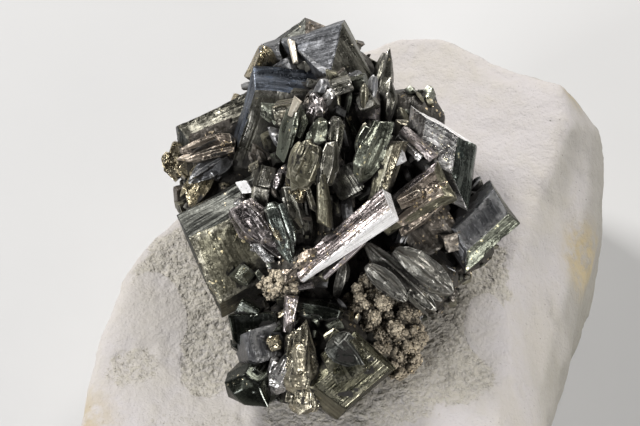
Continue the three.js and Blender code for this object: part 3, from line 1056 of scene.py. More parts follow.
def rings(
    rng: Draws, width: float, thick: float, stations: Sequence[Pair], sides: int, stagger: float
) -> Array:
    """Corners of a form with one uneven section, scaled along its length.

    Args:
        rng: Random draws for the section.
        width: Breadth of the whole section.
        thick: Its thickness.
        stations: Places from the point, and the section's share there.
        sides: Number of the section's corners.
        stagger: How far a station's corners stray along the length, as a share of the breadth.

    Returns:
        The corners, with the point at the origin.
    """
    jitter = rng.uniform(-0.27, 0.27, sides)
    jitter[0] = jitter[sides // 2] = 0
    angles = 2 * math.pi * (np.arange(sides) + jitter) / sides
    reach = rng.uniform(0.82, 1.0, sides)
    oval = np.stack([np.cos(angles) * width, np.sin(angles) * thick], axis=1)
    section = oval * reach[:, None] / 2
    rows = []
    for x, share in stations:
        uneven = section * share * rng.uniform(0.94, 1.06, (sides, 1))
        rows.append(np.column_stack([rng.uniform(-1, 1, sides) * stagger * width - x, uneven]))
    return np.concatenate(rows)


def spear_corners(rng: Draws, length: float, width: float, thick: float, point: float) -> Array:
    """Spear, with its point at the origin and a section that narrows towards the root."""
    stations = [(0, 0.06), (0.4 * point, 0.52), (0.75 * point, 0.86), (point, 1.0), (length, 0.74)]
    return rings(rng, width, thick, stations, 6, 0.06)


# Places along rounded habits, as shares of the length, and the section's share there. The lens
# swells smoothly and closes again, the prism is stout with a blunt end, and the drop is widest
# near its round far end.
LENS = (
    (0, 0.1), (0.04, 0.34), (0.12, 0.6), (0.24, 0.82), (0.38, 0.95), (0.55, 1.0),
    (0.72, 0.94), (0.87, 0.74), (0.96, 0.5), (1, 0.3),
)
PRISM = ((0.02, 0.34), (0.1, 0.66), (0.26, 0.94), (0.55, 1.0), (1, 0.7))
DROP = ((0, 0.05), (0.18, 0.34), (0.4, 0.7), (0.62, 0.94), (0.8, 1.0), (0.92, 0.78), (1, 0.34))


def stretched(shares: Sequence[Pair], length: float) -> list[Pair]:
    """Table of a habit, at its length."""
    return [(place * length, share) for place, share in shares]


def lens_corners(rng: Draws, length: float, width: float, thick: float) -> Array:
    """Lens, with its blunt point at the origin."""
    return rings(rng, width, thick, stretched(LENS, length), 6, 0.0)


def prism_corners(rng: Draws, length: float, width: float, thick: float) -> Array:
    """Prism with five to seven sides, with its end at the origin."""
    sides = int(rng.integers(5, 8))
    return rings(rng, width, thick, stretched(PRISM, length), sides, 0.12)


def drop_corners(rng: Draws, length: float, width: float, thick: float) -> Array:
    """Drop, with its point at the origin."""
    return rings(rng, width, thick, stretched(DROP, length), 7, 0.04)


CORNERS: dict[Form, Callable[..., Array]] = {
    Form.TABLET: tablet_corners,
    Form.BLOCK: block_corners,
    Form.BAR: bar_corners,
    Form.SPEAR: spear_corners,
    Form.LENS: lens_corners,
    Form.PRISM: prism_corners,
    Form.DROP: drop_corners,
}


@dataclass(frozen=True)
class Crystal:
    """One crystal.

    Attributes:
        form: Its habit.
        tip: Its outer corner, point or end.
        turn: Heading, rise and roll in degrees.
        sizes: The habit's own sizes, as its corner function takes them.
        finish: Finish of its broad faces.
        twins: Number of smaller crystals grown parallel on it.
        rims: Finishes of its edges towards its breadth and away from it, where they differ.
    """

    form: Form
    tip: Triple
    turn: Triple
    sizes: tuple[float, ...]
    finish: Finish
    twins: int = 3
    rims: tuple[Finish, Finish] | None = None

    def axes(self) -> Array:
        """Its axes as columns."""
        return turned(*self.turn)

    @property
    def cornered(self) -> bool:
        """Whether it runs back from a corner along two sides."""
        return self.form in (Form.TABLET, Form.BLOCK)

    def spread(self) -> Triple:
        """Room that it takes up.

        Returns:
            Its length, breadth and thickness.
        """
        first, second, thick = self.sizes[:3]
        if not self.cornered:
            return first, second, thick
        half = self._half_angle()
        return (first + second) * math.cos(half), (first + second) * math.sin(half), thick

    def _half_angle(self) -> float:
        """Half the angle between its two sides, in radians, or 0 where it has no corner."""
        return math.radians(self.sizes[4]) / 2 if self.cornered else 0.0

    def seat(self, a: float, b: float, level: float) -> Triple:
        """Point in its own frame, a and b along its two sides and at a level."""
        return *slanted(self._half_angle(), a, b), level

    def bear(
        self, form: Form, seat: Sequence[float], lean: Sequence[float], sizes: tuple[float, ...]
    ) -> Crystal:
        """Smaller crystal of the same finish that grows on this one.

        Args:
            form: Its habit.
            seat: Its tip, in this crystal's frame.
            lean: Degrees that its heading, rise and roll differ by.
            sizes: Its sizes.

        Returns:
            The smaller crystal.
        """
        tip = tuple(np.array(self.tip) + self.axes() @ np.array(seat))
        turn = tuple(np.array(self.turn) + lean)
        return Crystal(form, tip, turn, sizes, self.finish, 0)

    def straight(self, points: Array) -> tuple[Array, Array]:
        """Places on the straight striations of its broad faces.

        Args:
            points: Points in its own frame.

        Returns:
            Places across the striations and along them.
        """
        half = self._half_angle()
        along = np.array([-math.cos(half), math.sin(half), 0.3])
        across = np.array([math.sin(half), math.cos(half), 0.3])
        return points @ across, points @ along


T, K, B, S, L, P, D = (
    Form.TABLET, Form.BLOCK, Form.BAR, Form.SPEAR, Form.LENS, Form.PRISM, Form.DROP
)

CROWN = [
    Crystal(T, (-2.9, 35.6, -12), (99, 15, 0), (9, 12, 8, 3.6, 122, 0.9), BROWN, 0, (DIM, BROWN)),
    Crystal(T, (4.3, 34.6, -5), (67, 15, 0), (12, 17, 12, 5.0, 103, 1.35), STEEL, 0, (STEEL, DARK)),
    Crystal(K, (-10.6, 30.4, -8), (105, 10, 20), (6, 6, 5, 1.3, 85), BRASS),
    Crystal(K, (-7.2, 31.2, -7), (60, 30, 0), (4, 5, 4, 1.3, 95), GREY),
    Crystal(S, (12.7, 30.1, -8), (78, 5, 35), (13, 5.2, 4, 6), DARK),
    Crystal(S, (12.8, 24.4, -2), (80, 5, 20), (11, 4.6, 4, 4), DARK),
    Crystal(K, (10.4, 22, 2), (48, 15, 0), (7.2, 6.6, 7.5, 1.5, 92), LILAC, 2),
    Crystal(K, (6.8, 25.4, -0.5), (80, 25, 0), (3.4, 3.4, 3.4, 0.6, 100), GREY, 1),
    Crystal(S, (4.5, 25.7, 1), (70, 20, 30), (7, 3, 3, 2), DARK, 2),
    # A thin cream bar that paints a highlight streak.
    Crystal(B, (-5.3, 31.4, -4.6), (102, -32, 30), (5.2, 1.3, 1.4, 0.3, 0.3), PAINTED_CREAM_HIGHLIGHT, 1),
]
GREAT_BLADE = [
    Crystal(T, (-11.9, 26.8, -4), (124, 8, 0), (22.5, 20, 9, 3.6, 99, 0.28), DARK, 1, (BLUE, BLUE)),
    Crystal(S, (-10.3, 19.6, 5), (150, 8, 25), (8, 5.5, 4, 5), GREEN),
    Crystal(K, (-4.6, 19.8, 8), (55, 25, 0), (3.6, 3.6, 3.6, 0.6, 90), TAN, 0),
    # A thin cream bar that paints a highlight streak.
    Crystal(B, (-3.7, 20.2, 10.6), (66, -6, 0), (3.6, 1.7, 1.5, 0.2, 0.5), PAINTED_CREAM_HIGHLIGHT, 0),
    Crystal(S, (-9.2, 15.3, 6), (140, 6, 20), (7, 5, 4, 4), GREY),
    Crystal(S, (-11.8, 12.4, 4.6), (118, 10, 20), (9, 4.6, 4.2, 3.4), BROWN, 6),
    Crystal(P, (-5.3, 8.5, 8.2), (72, 20, -15), (6.4, 4.2, 4.6), LILAC, 4),
    Crystal(K, (-11, 8.3, 7), (120, 10, 20), (3.8, 3, 4, 0.7, 95), DARK),
    Crystal(K, (-10.9, 9.2, 8.6), (58, 16, 10), (1.9, 1.2, 1.3, 0.4, 66), TAN, 1),
]
CENTRE_STACK = [
    Crystal(P, (1.0, 23.2, 10.2), (72, 40, 20), (6, 3.6, 3.4), GREY, 0),
    Crystal(P, (2.3, 21.6, 10.6), (50, 35, 0), (5, 2.8, 2.8), SILVER, 0),
    Crystal(P, (-0.9, 21.3, 10.8), (96, 30, 0), (6, 3.0, 3.0), LILAC, 0),
    Crystal(P, (0, 20, 11), (74, 30, -20), (8, 4.2, 4.6), LILAC),
    Crystal(P, (-3.3, 19.5, 10), (72, 14, 20), (10.5, 5, 7.4), GREEN, 2),
    Crystal(P, (0.3, 16.6, 12), (78, 8, 20), (6.5, 3.6, 4), GREEN),
    Crystal(P, (3, 17.2, 11), (84, 8, -30), (7, 3.4, 4), DARK),
    Crystal(B, (2, 25.7, 6), (98, 10, 0), (16, 2, 2.6, 0.4, 0.8), OLIVE, 2),
    Crystal(P, (-1.9, 12.9, 12), (82, 5, 20), (9, 6, 6), OLIVE, 4),
    Crystal(P, (1.8, 12.4, 12), (80, 0, -20), (8, 4.5, 5), DARK),
    Crystal(K, (2.8, 9.8, 11), (40, 5, 20), (3.4, 3.2, 3.6, 0.7, 95), GREY),
    Crystal(P, (-3.9, 4.4, 13), (-110, 0, 10), (8, 5.5, 5), OLIVE),
    Crystal(B, (0.9, -2.8, 13), (-86, 0, 20), (9.5, 2.6, 2.8, 0.5, 1.2), OLIVE, 2),
    Crystal(S, (-0.7, 0, 12), (-72, 0, 0), (7, 1.8, 2.2, 1), TAN, 1),
    Crystal(K, (8.4, 4.4, 8.2), (-18, 14, 10), (5.5, 5, 4.4, 1.0, 84), DARK, 2),
    Crystal(P, (6.9, 5.6, 10.5), (-112, -4, 22), (11.5, 6, 8.4), GREEN, 3),
    Crystal(B, (13, 11.8, 10), (74, 12, -28), (11, 4.4, 5, 0.9, -1.8), OLIVE, 2, (TAN, TAN)),
    # A small near-white face that paints a highlight.
    Crystal(K, (14.2, 12.4, 10.6), (66, 10, -10), (1.9, 3.4, 1.6, 0.3, 82), PAINTED_HIGHLIGHT, 0),
]
BRASSY_GROUP = [
    Crystal(T, (-26.3, 15.7, -8), (152, 5, 0), (13.7, 16, 9, 3.4, 107), BROWN, 2, (DIM, DARK)),
    Crystal(K, (-27, 13.2, -9), (120, 0, 0), (6, 5, 5, 1, 90), BRASS),
    Crystal(D, (-25.6, 9.5, -2), (196, 0, 10), (11, 6.4, 5.4), OCHRE, 5),
    Crystal(D, (-24.4, 4.9, -2), (214, 0, 0), (10, 6, 5), GREY, 2),
    Crystal(P, (-23.5, 1.6, -3), (240, 0, 0), (9, 6, 5), BRASS, 4),
]
LEFT_TABLET = [
    Crystal(T, (-25.8, -0.8, 2), (161, 0, -14), (20.3, 18, 10, 3.8, 96, 0.4), OLIVE, 2, (DIM, DIM)),
    # A small near-white face that paints a highlight.
    Crystal(K, (-14.6, 5.4, 6.8), (156, -24, -8), (2.5, 2.1, 2.0, 0.25, 62), PAINTED_HIGHLIGHT, 0),
    Crystal(K, (-12.4, 4.6, 8), (130, 10, 10), (3.4, 3.2, 3.4, 0.9, 90), DARK),
    Crystal(S, (-6.7, -7.9, 11), (-50, 5, 10), (12, 7.4, 6, 8), LILAC, 8),
    Crystal(K, (-7.8, -8.4, 10.6), (-22, 6, 14), (4.4, 1.7, 1.6, 0.4, 58), SILVER, 1),
    Crystal(P, (-6.6, -5.2, 12.6), (-60, 2, 0), (3.8, 1.3, 1.4), BRASS, 2),
    Crystal(D, (-4.3, -10.4, 12), (-70, 5, 20), (13, 5.6, 5), TEAL, 1),
    Crystal(S, (-2.8, -6, 9), (-76, -4, 25), (11, 4.4, 4, 4), DARK),
    Crystal(P, (-3, 2, 11), (-80, 0, 0), (6, 4.5, 4), BRASS),
]
BRIGHT_BAR = [
    # The rims on one side of the bar are near white, a painted highlight.
    Crystal(B, (12.9, 2.0, 15), (37, 6, -58), (21, 7.4, 3.4, 0.35, 1, 0.12), ROSE, 2, (OLIVE, PAINTED_HIGHLIGHT)),
    Crystal(P, (0.2, -6.6, 12.4), (37, 4, -30), (8, 4.6, 3.2), OCHRE, 4),
]
RIGHT_SIDE = [
    # The rims on one side of this tablet are near white, a painted highlight.
    Crystal(T, (28.2, 12, 2), (25, 0, -12), (14, 12, 10, 3.4, 113, 0.3), SILVER, 1, (PAINTED_HIGHLIGHT, TEAL)),
    Crystal(B, (22.8, 5.8, 9), (33, 4, -12), (14.5, 7.2, 6.6, 1.3, 0.7), OCHRE, 4, (LILAC, OLIVE)),
    Crystal(B, (20.5, 9.7, 6.4), (-41, 0, 20), (8, 1.7, 5, 0.3, 0), LILAC, 1),
    Crystal(B, (18.4, 9.9, 6.4), (-40, 0, 20), (6, 1.7, 5, 0.3, 0), SILVER, 1),
    Crystal(B, (14.6, 16.6, 4), (88, 6, 12), (7, 2.4, 3, 0.4, 0), TAN, 2),
    Crystal(K, (22.3, 18.6, -12), (20, 0, 20), (6, 5, 1.6, 0.5, 70), DARK),
    Crystal(K, (19, 21.4, -12), (40, 0, 0), (6, 3, 3, 0.8, 90), DARK),
    Crystal(T, (35.3, -2.2, 2), (-8, 0, -10), (9.5, 13, 6.5, 2.4, 101, 0.3), GREY, 0, (DARK, GREEN)),
    Crystal(P, (28.8, 6.2, 0), (78, 12, 0), (8, 3, 4), DARK),
    Crystal(S, (16.2, -0.8, 4), (68, 0, 20), (7, 2.4, 2.4, 2), GREY),
    Crystal(K, (25.4, -3.4, 1), (-10, 0, 0), (8, 9, 8, 1.6, 90), BROWN, 5),
]
LENS_SHEAF = [
    Crystal(L, (15.4, -15.6, 10), (-42, 0, 25), (9.8, 4.4, 3.4), SHEAF, 1),
    Crystal(L, (20.6, -17.2, 8), (-43, 0, 20), (17.2, 4.4, 4), SHEAF, 2),
    Crystal(L, (23.4, -14.4, 9), (-38, 0, 20), (12.8, 6.4, 5), SHEAF, 1),
    Crystal(L, (4.4, -8.2, 6), (76, 18, 0), (7.4, 3.4, 4.4), SHEAF, 1),
]
FOOT = [
    Crystal(B, (-1.2, -12.3, 11), (12, 0, 20), (4.2, 1.6, 2, 0.3, 0), LILAC, 1),
    Crystal(P, (3.8, -17.8, 11), (-12, 4, 0), (8, 4.2, 5.4), BLACK, 2),
    Crystal(B, (-5, -14.4, 13), (84, 5, 15), (6.4, 2.4, 2.4, 0.4, 0), LILAC, 2),
    Crystal(D, (-2.7, -18.8, 13.0), (86, -4, 12), (12.6, 7.6, 7.4), PALE_BRASS, 4),
    Crystal(D, (-4.4, -22.6, 12.6), (66, -4, 12), (9.4, 5.4, 6), SILVER, 3),
    Crystal(P, (-2.4, -35.2, 13.4), (-88, 0, 0), (7, 6.6, 5), PALE_BRASS, 7),
    Crystal(P, (-13.6, -32.4, 15.6), (238, 48, 10), (9.5, 9.6, 9.0), BLACK, 3),
    Crystal(K, (-14.4, -21.6, 11.4), (150, 14, 20), (6, 7, 6, 1.8, 95), GREY, 3),
    Crystal(K, (-7.2, -21.4, 14.2), (60, 20, 0), (2, 2.2, 2, 0.4, 92), BRASS, 2),
    Crystal(K, (-15.6, -18, 8), (140, 0, 0), (5, 8, 6, 1.2, 90), BLACK),
    Crystal(K, (5.2, -21.6, 13.4), (20, 0, 0), (3.2, 3.4, 3.4, 1, 95), MOSS),
    Crystal(K, (8.8, -27, 13.6), (-20, 0, 0), (6, 7, 6, 2.2, 95), MOSS, 4),
    Crystal(T, (2.6, -36.2, 12), (-90, 0, -12), (14, 9.4, 8, 2.2, 97, 0.4), MOSS, 1, (MOSS, OLIVE)),
    Crystal(D, (8.2, -27.4, 16.2), (-42, 6, 0), (8.4, 6.4, 4.6), DIM, 0),
]
REAR = [
    Crystal(T, (-2, 40, 57), (95, 12, 70), (14, 13, 7, 2.6, 104), DARK, 2, (BLUE, BLUE)),
    Crystal(T, (-11, 34, 60), (122, 18, 40), (12, 10, 6, 2.2, 98), GREY, 2),
    Crystal(T, (6, 35, 59), (66, 20, -50), (11, 10, 6, 2.2, 100), OLIVE, 2, (DARK, DARK)),
    Crystal(T, (-19, 23, 56), (142, 8, 30), (11, 9, 6, 2, 95), LILAC, 2),
    Crystal(T, (-15, 28, 51), (128, -8, 75), (10, 9, 5, 1.8, 108), BRASS, 2),
    Crystal(T, (3, 36, 50), (86, -6, -20), (10, 11, 5.5, 2, 96), DARK, 2),
    Crystal(T, (17, 26, 56), (48, 12, 60), (10, 9, 5, 1.8, 100), GREEN, 2),
    Crystal(T, (25, 17, 53), (28, 6, -30), (10, 9, 5, 1.8, 98), OLIVE, 2),
    Crystal(B, (12, 32, 55), (64, 10, 20), (12, 3.4, 3, 0.6, 1), TAN, 2),
    Crystal(B, (-6, 38, 52), (104, 2, 0), (12, 3, 3, 0.6, 0.8), LILAC, 2),
    Crystal(P, (-9, 37, 56), (115, 25, 30), (9, 4.4, 4), DARK, 2),
    Crystal(P, (1, 38, 63), (90, 45, 0), (9, 5, 4), GREEN, 2),
    Crystal(P, (10, 31, 62), (60, 40, 10), (8, 4.4, 4), GREY, 2),
    Crystal(P, (-16, 26, 60), (132, 35, 10), (8, 4.4, 4), BRASS, 2),
    Crystal(S, (-21, 20, 50), (150, -12, 20), (10, 5, 4, 5), GREEN, 2),
    Crystal(S, (-9, 33, 47), (120, -20, 50), (9, 5, 4, 5), DARK, 2),
    Crystal(S, (20, 24, 50), (46, -4, 20), (9, 4.6, 4, 5), DARK, 2),
    Crystal(S, (29, 8, 50), (12, 4, 10), (9, 5, 4, 5), BRASS, 2),
]

# Masses in which the roots grow together: centre and half-axes.
FRONT_ROOTS: list[tuple[Triple, Triple]] = [
    ((2.5, 12, -3), (7.5, 13, 10)),
    ((-1, 23, -14), (12, 10, 10)),
    ((-17, 8, -11), (8.5, 9, 8.5)),
    ((-5, -4, 1), (7, 9, 9.5)),
    ((-3.5, -9.5, 8), (5, 4, 5)),
    ((12, 6, -3), (11, 10, 8)),
    ((22, -4, -4), (10, 8, 7)),
    ((17, -12, 0), (8, 6.5, 8)),
    ((-2, -25, 5), (12, 10, 7.5)),
    ((16, 17, -14), (7, 6, 6)),
]
REAR_ROOTS: list[tuple[Triple, Triple]] = [
    ((0, 4, 47), (19, 24, 11)),
    ((-5, 20, 53), (13, 13, 12)),
    ((14, 6, 49), (13, 18, 9)),
]
# Lumps of crust: centre, radius and lightness.
LARGE_CRUST: list[tuple[Triple, float, float]] = [
    ((9.4, -16.6, 4), 4.7, 1.0),
    ((14.8, -20.2, 4), 4.1, 0.5),
    ((13.4, -24.6, 4.6), 4.2, 0.6),
    ((7.2, -18.9, 4.6), 3.2, 1.0),
    ((10.8, -22, 5), 4.4, 0.9),
]
SMALL_CRUST: list[tuple[Triple, float, float]] = [
    ((-6.9, -11.6, 10), 2.7, 1.0),
    ((-5.6, -13.4, 10), 2.2, 0.9),
    ((-8.8, -12.8, 9.6), 2.0, 1.0),
]


def ball(detail: int) -> tuple[Array, Array]:
    """Unit ball.

    Args:
        detail: Number of times that its faces are divided.

    Returns:
        Its points and triangles.
    """
    bm = bmesh.new()
    bmesh.ops.create_icosphere(bm, subdivisions=detail, radius=1.0)
    made = triangles_of(bm)
    bm.free()
    return made


@dataclass(frozen=True)
class Mass:
    """Rounded mass of roots.

    Attributes:
        centre: Its centre in the row frame, in millimetres.
        half: Its half-axes.
        axes: Directions of the half-axes, as rows.
    """

    centre: Array
    half: Array
    axes: Array


@dataclass
class Roots:
    """The masses that the crystals grow out of.

    Attributes:
        frames: The part's frames.
        covered: Share of a mass, out from its centre, in which nothing can be seen.
    """

    frames: Frames
    covered: float = 0.86

    def buried(self, points: Array, tilted: bool) -> Array:
        """Which points lie well inside a root mass.

        Args:
            points: Points of the tilted or the upright frame.
            tilted: Which of the two it is.

        Returns:
            Whether each one does.
        """
        inside = np.zeros(len(points), bool)
        for centre, half in FRONT_ROOTS if tilted else REAR_ROOTS:
            reach = np.linalg.norm((points - np.array(centre)) / np.array(half), axis=1)
            inside |= reach < self.covered
        return inside

    def masses(self) -> Iterable[Mass]:
        """All the masses, those of the front first.

        Yields:
            Each mass in the row frame.
        """
        tilted = self.frames.from_tilted(np.eye(3)) - self.frames.from_tilted(np.zeros((3, 3)))
        for centre, half in FRONT_ROOTS:
            yield Mass(self.frames.from_tilted(np.array([centre]))[0], np.array(half), tilted)
        for centre, half in REAR_ROOTS:
            yield Mass(self.frames.from_upright(np.array([centre]))[0], np.array(half), np.eye(3))


@dataclass(frozen=True)
class Filling:
    """Small crystals scattered in the gaps between the named ones.

    Attributes:
        low: Lowest corner of the space that their tips lie in.
        high: Highest corner of it.
        headings: Range of their headings.
        count: Number of them.
        finishes: Their finishes, in turn.
    """

    low: Triple
    high: Triple
    headings: Pair
    count: int
    finishes: tuple[Finish, ...] = (DARK, GREEN, GREY, OLIVE, BROWN)

    def crystals(self, rng: Draws) -> Iterable[Crystal]:
        """The scattered crystals.

        Args:
            rng: Random draws.

        Yields:
            Each crystal.
        """
        for number in range(self.count):
            tip = tuple(rng.uniform(self.low, self.high))
            turn = (rng.uniform(*self.headings), rng.uniform(-5, 35), rng.uniform(-40, 40))
            size = rng.uniform(2.2, 5.0)
            finish = self.finishes[number % len(self.finishes)]
            if rng.random() < 0.55:
                sizes = (1.6 * size, size * rng.uniform(0.45, 0.8), size * rng.uniform(0.4, 0.7))
                yield Crystal(Form.PRISM, tip, turn, sizes, finish, 1)
            else:
                a, b = size * rng.uniform(0.6, 1.1, 2)
                sizes = (a, b, 0.8 * size, 0.16 * size, 92)
                yield Crystal(Form.BLOCK, tip, turn, sizes, finish, 0)


FILLINGS = {
    "crown": [Filling((-8, 26, -9), (11, 31, -4), (50, 120), 12)],
    "great_blade": [Filling((-12, 5, 1), (-4, 15, 5), (90, 170), 14, (BROWN, DARK, GREEN, OLIVE))],
    "centre_stack": [
        Filling((-6, 1, 5), (10, 16, 9.5), (60, 115), 24),
        Filling((-1, 14, 4), (10, 25, 8), (60, 115), 16),
    ],
    "brassy_group": [Filling((-27, 0, -7), (-18, 12, -3), (130, 230), 14, (BRASS, BROWN, OLIVE, DARK))],
    "left_tablet": [
        Filling((-14, -16, 5), (-4, 4, 9), (-110, 20), 16, (DARK, OLIVE, SILVER, GREEN, BROWN)),
    ],
    "right_side": [
        Filling((14, -8, -1), (30, 10, 4.5), (0, 90), 22, (DARK, GREEN, GREY, BROWN)),
        Filling((11, 12, -12), (22, 22, -6), (20, 110), 16, (DARK, OLIVE, BROWN, GREEN)),
    ],
    "foot": [Filling((-13, -33, 6), (9, -15, 11), (-150, 60), 26, (DARK, GREEN, BLACK, OLIVE, BRASS))],
}


# Lean of a face's normal out of the crystal's plane above which the face is a broad one, lean
# below which one looks to the root, and lean below which one is the underside of a corner.
BROAD = 0.85
ROOTWARD = -0.3
UNDERSIDE = -0.2
# Thickness in millimetres from which a crystal's edges are worn round.
STOUT = 1.6
# How much longer edges may be inside the roots, and on sides that face away.
BURIED_EDGES = 14
AWAY_EDGES = 2.4


@dataclass
class CrystalGroup:
    """Crystals that make one piece.

    Attributes:
        name: The piece's name.
        crystals: Its crystals.
        frames: The part's frames.
        roots: The root masses.
        seed: Start of the group's random draws.
        tilted: Whether its lists use the tilted frame.
        longest: Longest edge in its fine meshes.
        rounding: Width of its worn edges.
    """

    name: str
    crystals: list[Crystal]
    frames: Frames
    roots: Roots
    seed: int
    tilted: bool = True
    longest: float = 0.66
    rounding: float = 0.1
    bag: MeshBag = field(default_factory=MeshBag)

    def build(self) -> bpy.types.Object:
        """Meshes every crystal, the scattered ones too, and its twins.

        Returns:
            The piece.
        """
        scattered = np.random.default_rng(self.seed)
        gaps = FILLINGS.get(self.name, [])
        fill = [crystal for filling in gaps for crystal in filling.crystals(scattered)]
        for number, crystal in enumerate(self.crystals + fill):
            rng = np.random.default_rng(self.seed * 1000 + number)
            self._grow(crystal, rng)
            for twin in self._twins(crystal, rng):
                self._grow(twin, rng)
        return self.bag.piece(self.name)

    def _to_row(self, crystal: Crystal, points: Array) -> Array:
        """Points of a crystal's own frame, in the row frame."""
        placed = points @ crystal.axes().T + np.array(crystal.tip)
        return self.frames.from_tilted(placed) if self.tilted else self.frames.from_upright(placed)

    def _edge_rule(self, crystal: Crystal) -> EdgeRule:
        """Rule for the edges of one crystal.

        Args:
            crystal: The crystal.

        Returns:
            Function that gives the longest edge wanted near points.
        """
        front = np.array([0, 0, 1.0]) if self.tilted else np.array([0, 1.0, 0.5])
        axes = crystal.axes()

        def wanted(points: Array, normals: Array) -> Array:
            """Longest edges: long in the roots, shorter on the side that shows most.

            Args:
                points: Points in the crystal's frame.
                normals: Their normals.

            Returns:
                The longest edge wanted near each point.
            """
            placed = points @ axes.T + np.array(crystal.tip)
            hidden = self.roots.buried(placed, self.tilted)
            away = normals @ axes.T @ front < -0.1
            return self.longest * np.where(hidden, BURIED_EDGES, np.where(away, AWAY_EDGES, 1.0))

        return wanted

    def _grow(self, crystal: Crystal, rng: Draws) -> None:
        """Meshes one crystal and adds it to the bag.

        Args:
            crystal: The crystal.
            rng: Its random draws.
        """
        thin = min(crystal.spread()[1:])
        corners = CORNERS[crystal.form](rng, *crystal.sizes)
        rounding = min(self.rounding, 0.05 * thin) if thin > STOUT else 0.0
        facets = Facets.of(corners, rounding, self._edge_rule(crystal))
        across, along = self._striae(crystal, facets)
        own = rng.uniform(0, 90)
        depth = self._relief(crystal, facets, across, along, thin, rng)
        points = self._warp(facets.points - facets.normal * depth[:, None], rng, 0.035 * thin)
        grain = np.stack([across, along, np.full(len(points), own)], axis=1)
        # Near the edges: worn edges, which the finishes also lighten as a painted highlight.
        wear = 1 - smooth(0.5, 1.4, facets.edge)
        placed, coats = self._to_row(crystal, points), self._coats(crystal, facets)
        self.bag.add(placed, facets.faces, coats, grain, wear)

    def _coats(self, crystal: Crystal, facets: Facets) -> list[Finish]:
        """Finish of each triangle.

        Args:
            crystal: The crystal.
            facets: Its fine mesh.

        Returns:
            The finishes.
        """
        if crystal.rims is None:
            return [crystal.finish] * len(facets.faces)
        toward, away = crystal.rims
        lowest = UNDERSIDE if crystal.cornered else -1
        x, y, z = facets.facing.T
        own = (np.abs(z) > BROAD) | (x < ROOTWARD) | (z < lowest)
        rims = [toward if near else away for near in y > 0]
        return [crystal.finish if plain else rim for plain, rim in zip(own, rims)]

    def _striae(self, crystal: Crystal, facets: Facets) -> tuple[Array, Array]:
        """Places on the striations.

        They run straight over the broad faces of tablets, blocks and bars and level round the
        steep ones. On the other habits they follow the edges.

        Args:
            crystal: The crystal.
            facets: Its fine mesh.

        Returns:
            Each point's place across the striations and along them.
        """
        if crystal.form in (Form.LENS, Form.SPEAR, Form.PRISM, Form.DROP):
            return facets.edge, facets.points[:, 0]
        across, along = crystal.straight(facets.points)
        broad = np.abs(facets.normal[:, 2]) > BROAD
        run = unit_rows(np.cross(facets.normal, (0.0, 0.0, 1.0)))
        up, beside = 1.4 * facets.points[:, 2] + 80, np.einsum("ij,ij->i", facets.points, run)
        return np.where(broad, across, up), np.where(broad, along, beside)

    def _relief(
        self, crystal: Crystal, facets: Facets, across: Array, along: Array, thin: float, rng: Draws
    ) -> Array:
        """Depth that growth steps, laths and hollows take off a crystal's faces.

        Args:
            crystal: The crystal.
            facets: Its fine mesh.
            across: Place of each point across the striations.
            along: Place along them.
            thin: The crystal's smaller size, which holds the depth back.
            rng: The crystal's random draws.

        Returns:
            Depth at each point, in millimetres, none at the edges.
        """
        finish = crystal.finish
        noise = Noise(int(rng.integers(1, 9999)))
        points, edge = facets.points, facets.edge
        hold = min(1.0, thin / 4.5)
        flat = np.zeros_like(along)
        lath = noise.blocks(np.stack([across / 0.95, along / 5.5, flat], axis=1))
        bundle = noise.blocks(np.stack([across / 2.6, along / 9, flat + 7], axis=1))
        grown = smooth(0.05, 0.7, edge + 0.3 * noise.at(points / 1.3))
        depth = grown * finish.ledge * (1.1 * lath + 1.9 * bundle)
        lumps = noise.blocks(points / 1.25 + 20)
        rough = smooth(-0.05, 0.45, noise.fractal(points / 4.0 + 40, 3))
        knobs = 0.9 * lumps + 1.2 * (0.5 + 0.5 * noise.fractal(points / 1.1, 3))
        depth += finish.lump * grown * rough * knobs
        hollow = smooth(0.22, 0.5, noise.fractal(points / 4.6 + 80, 3))
        depth += 2.2 * finish.lump * hollow * smooth(0.5, 1.8, edge)
        chipped = smooth(0.3, 0.62, noise.fractal(points / 1.5 + 60, 2))
        depth += 0.2 * (chipped * (1 - smooth(0.2, 0.8, edge)))
        return hold * depth

    def _warp(self, points: Array, rng: Draws, size: float) -> Array:
        """Slight unevenness of the whole crystal."""
        shifts = [Noise(int(rng.integers(1, 9999))).at(points / 4.5) for _ in range(3)]
        return points + size * np.stack(shifts, axis=1)

    def _twins(self, crystal: Crystal, rng: Draws) -> Iterable[Crystal]:
        """Smaller crystals grown on one, most of them parallel and set back from its tip.

        Args:
            crystal: The larger crystal.
            rng: Its random draws.

        Yields:
            Each smaller crystal.
        """
        if crystal.form is Form.TABLET:
            for _ in range(crystal.twins):
                yield self._layer(crystal, rng)
            for _ in range(3 * crystal.twins):
                yield self._litter(crystal, rng)
        else:
            for _ in range(crystal.twins + crystal.twins // 2):
                yield self._strand(crystal, rng)

    def _layer(self, crystal: Crystal, rng: Draws) -> Crystal:
        """Thin layer that stands a little proud of a tablet's broad face.

        Args:
            crystal: The tablet.
            rng: Its random draws.

        Returns:
            The layer.
        """
        side_a, side_b, thick, _, angle = crystal.sizes[:5]
        share = rng.uniform(0.3, 0.75, 2)
        shift = rng.uniform(0.12, 0.97 - share) * (side_a, side_b)
        level = rng.choice([-1, 1, 1]) * (thick / 2 - rng.uniform(0.2, 0.34))
        lean = rng.uniform(-1.5, 1.5, 3)
        sizes = (side_a * share[0], side_b * share[1], 0.9, 0.25, angle)
        return crystal.bear(Form.BLOCK, crystal.seat(*shift, level), lean, sizes)

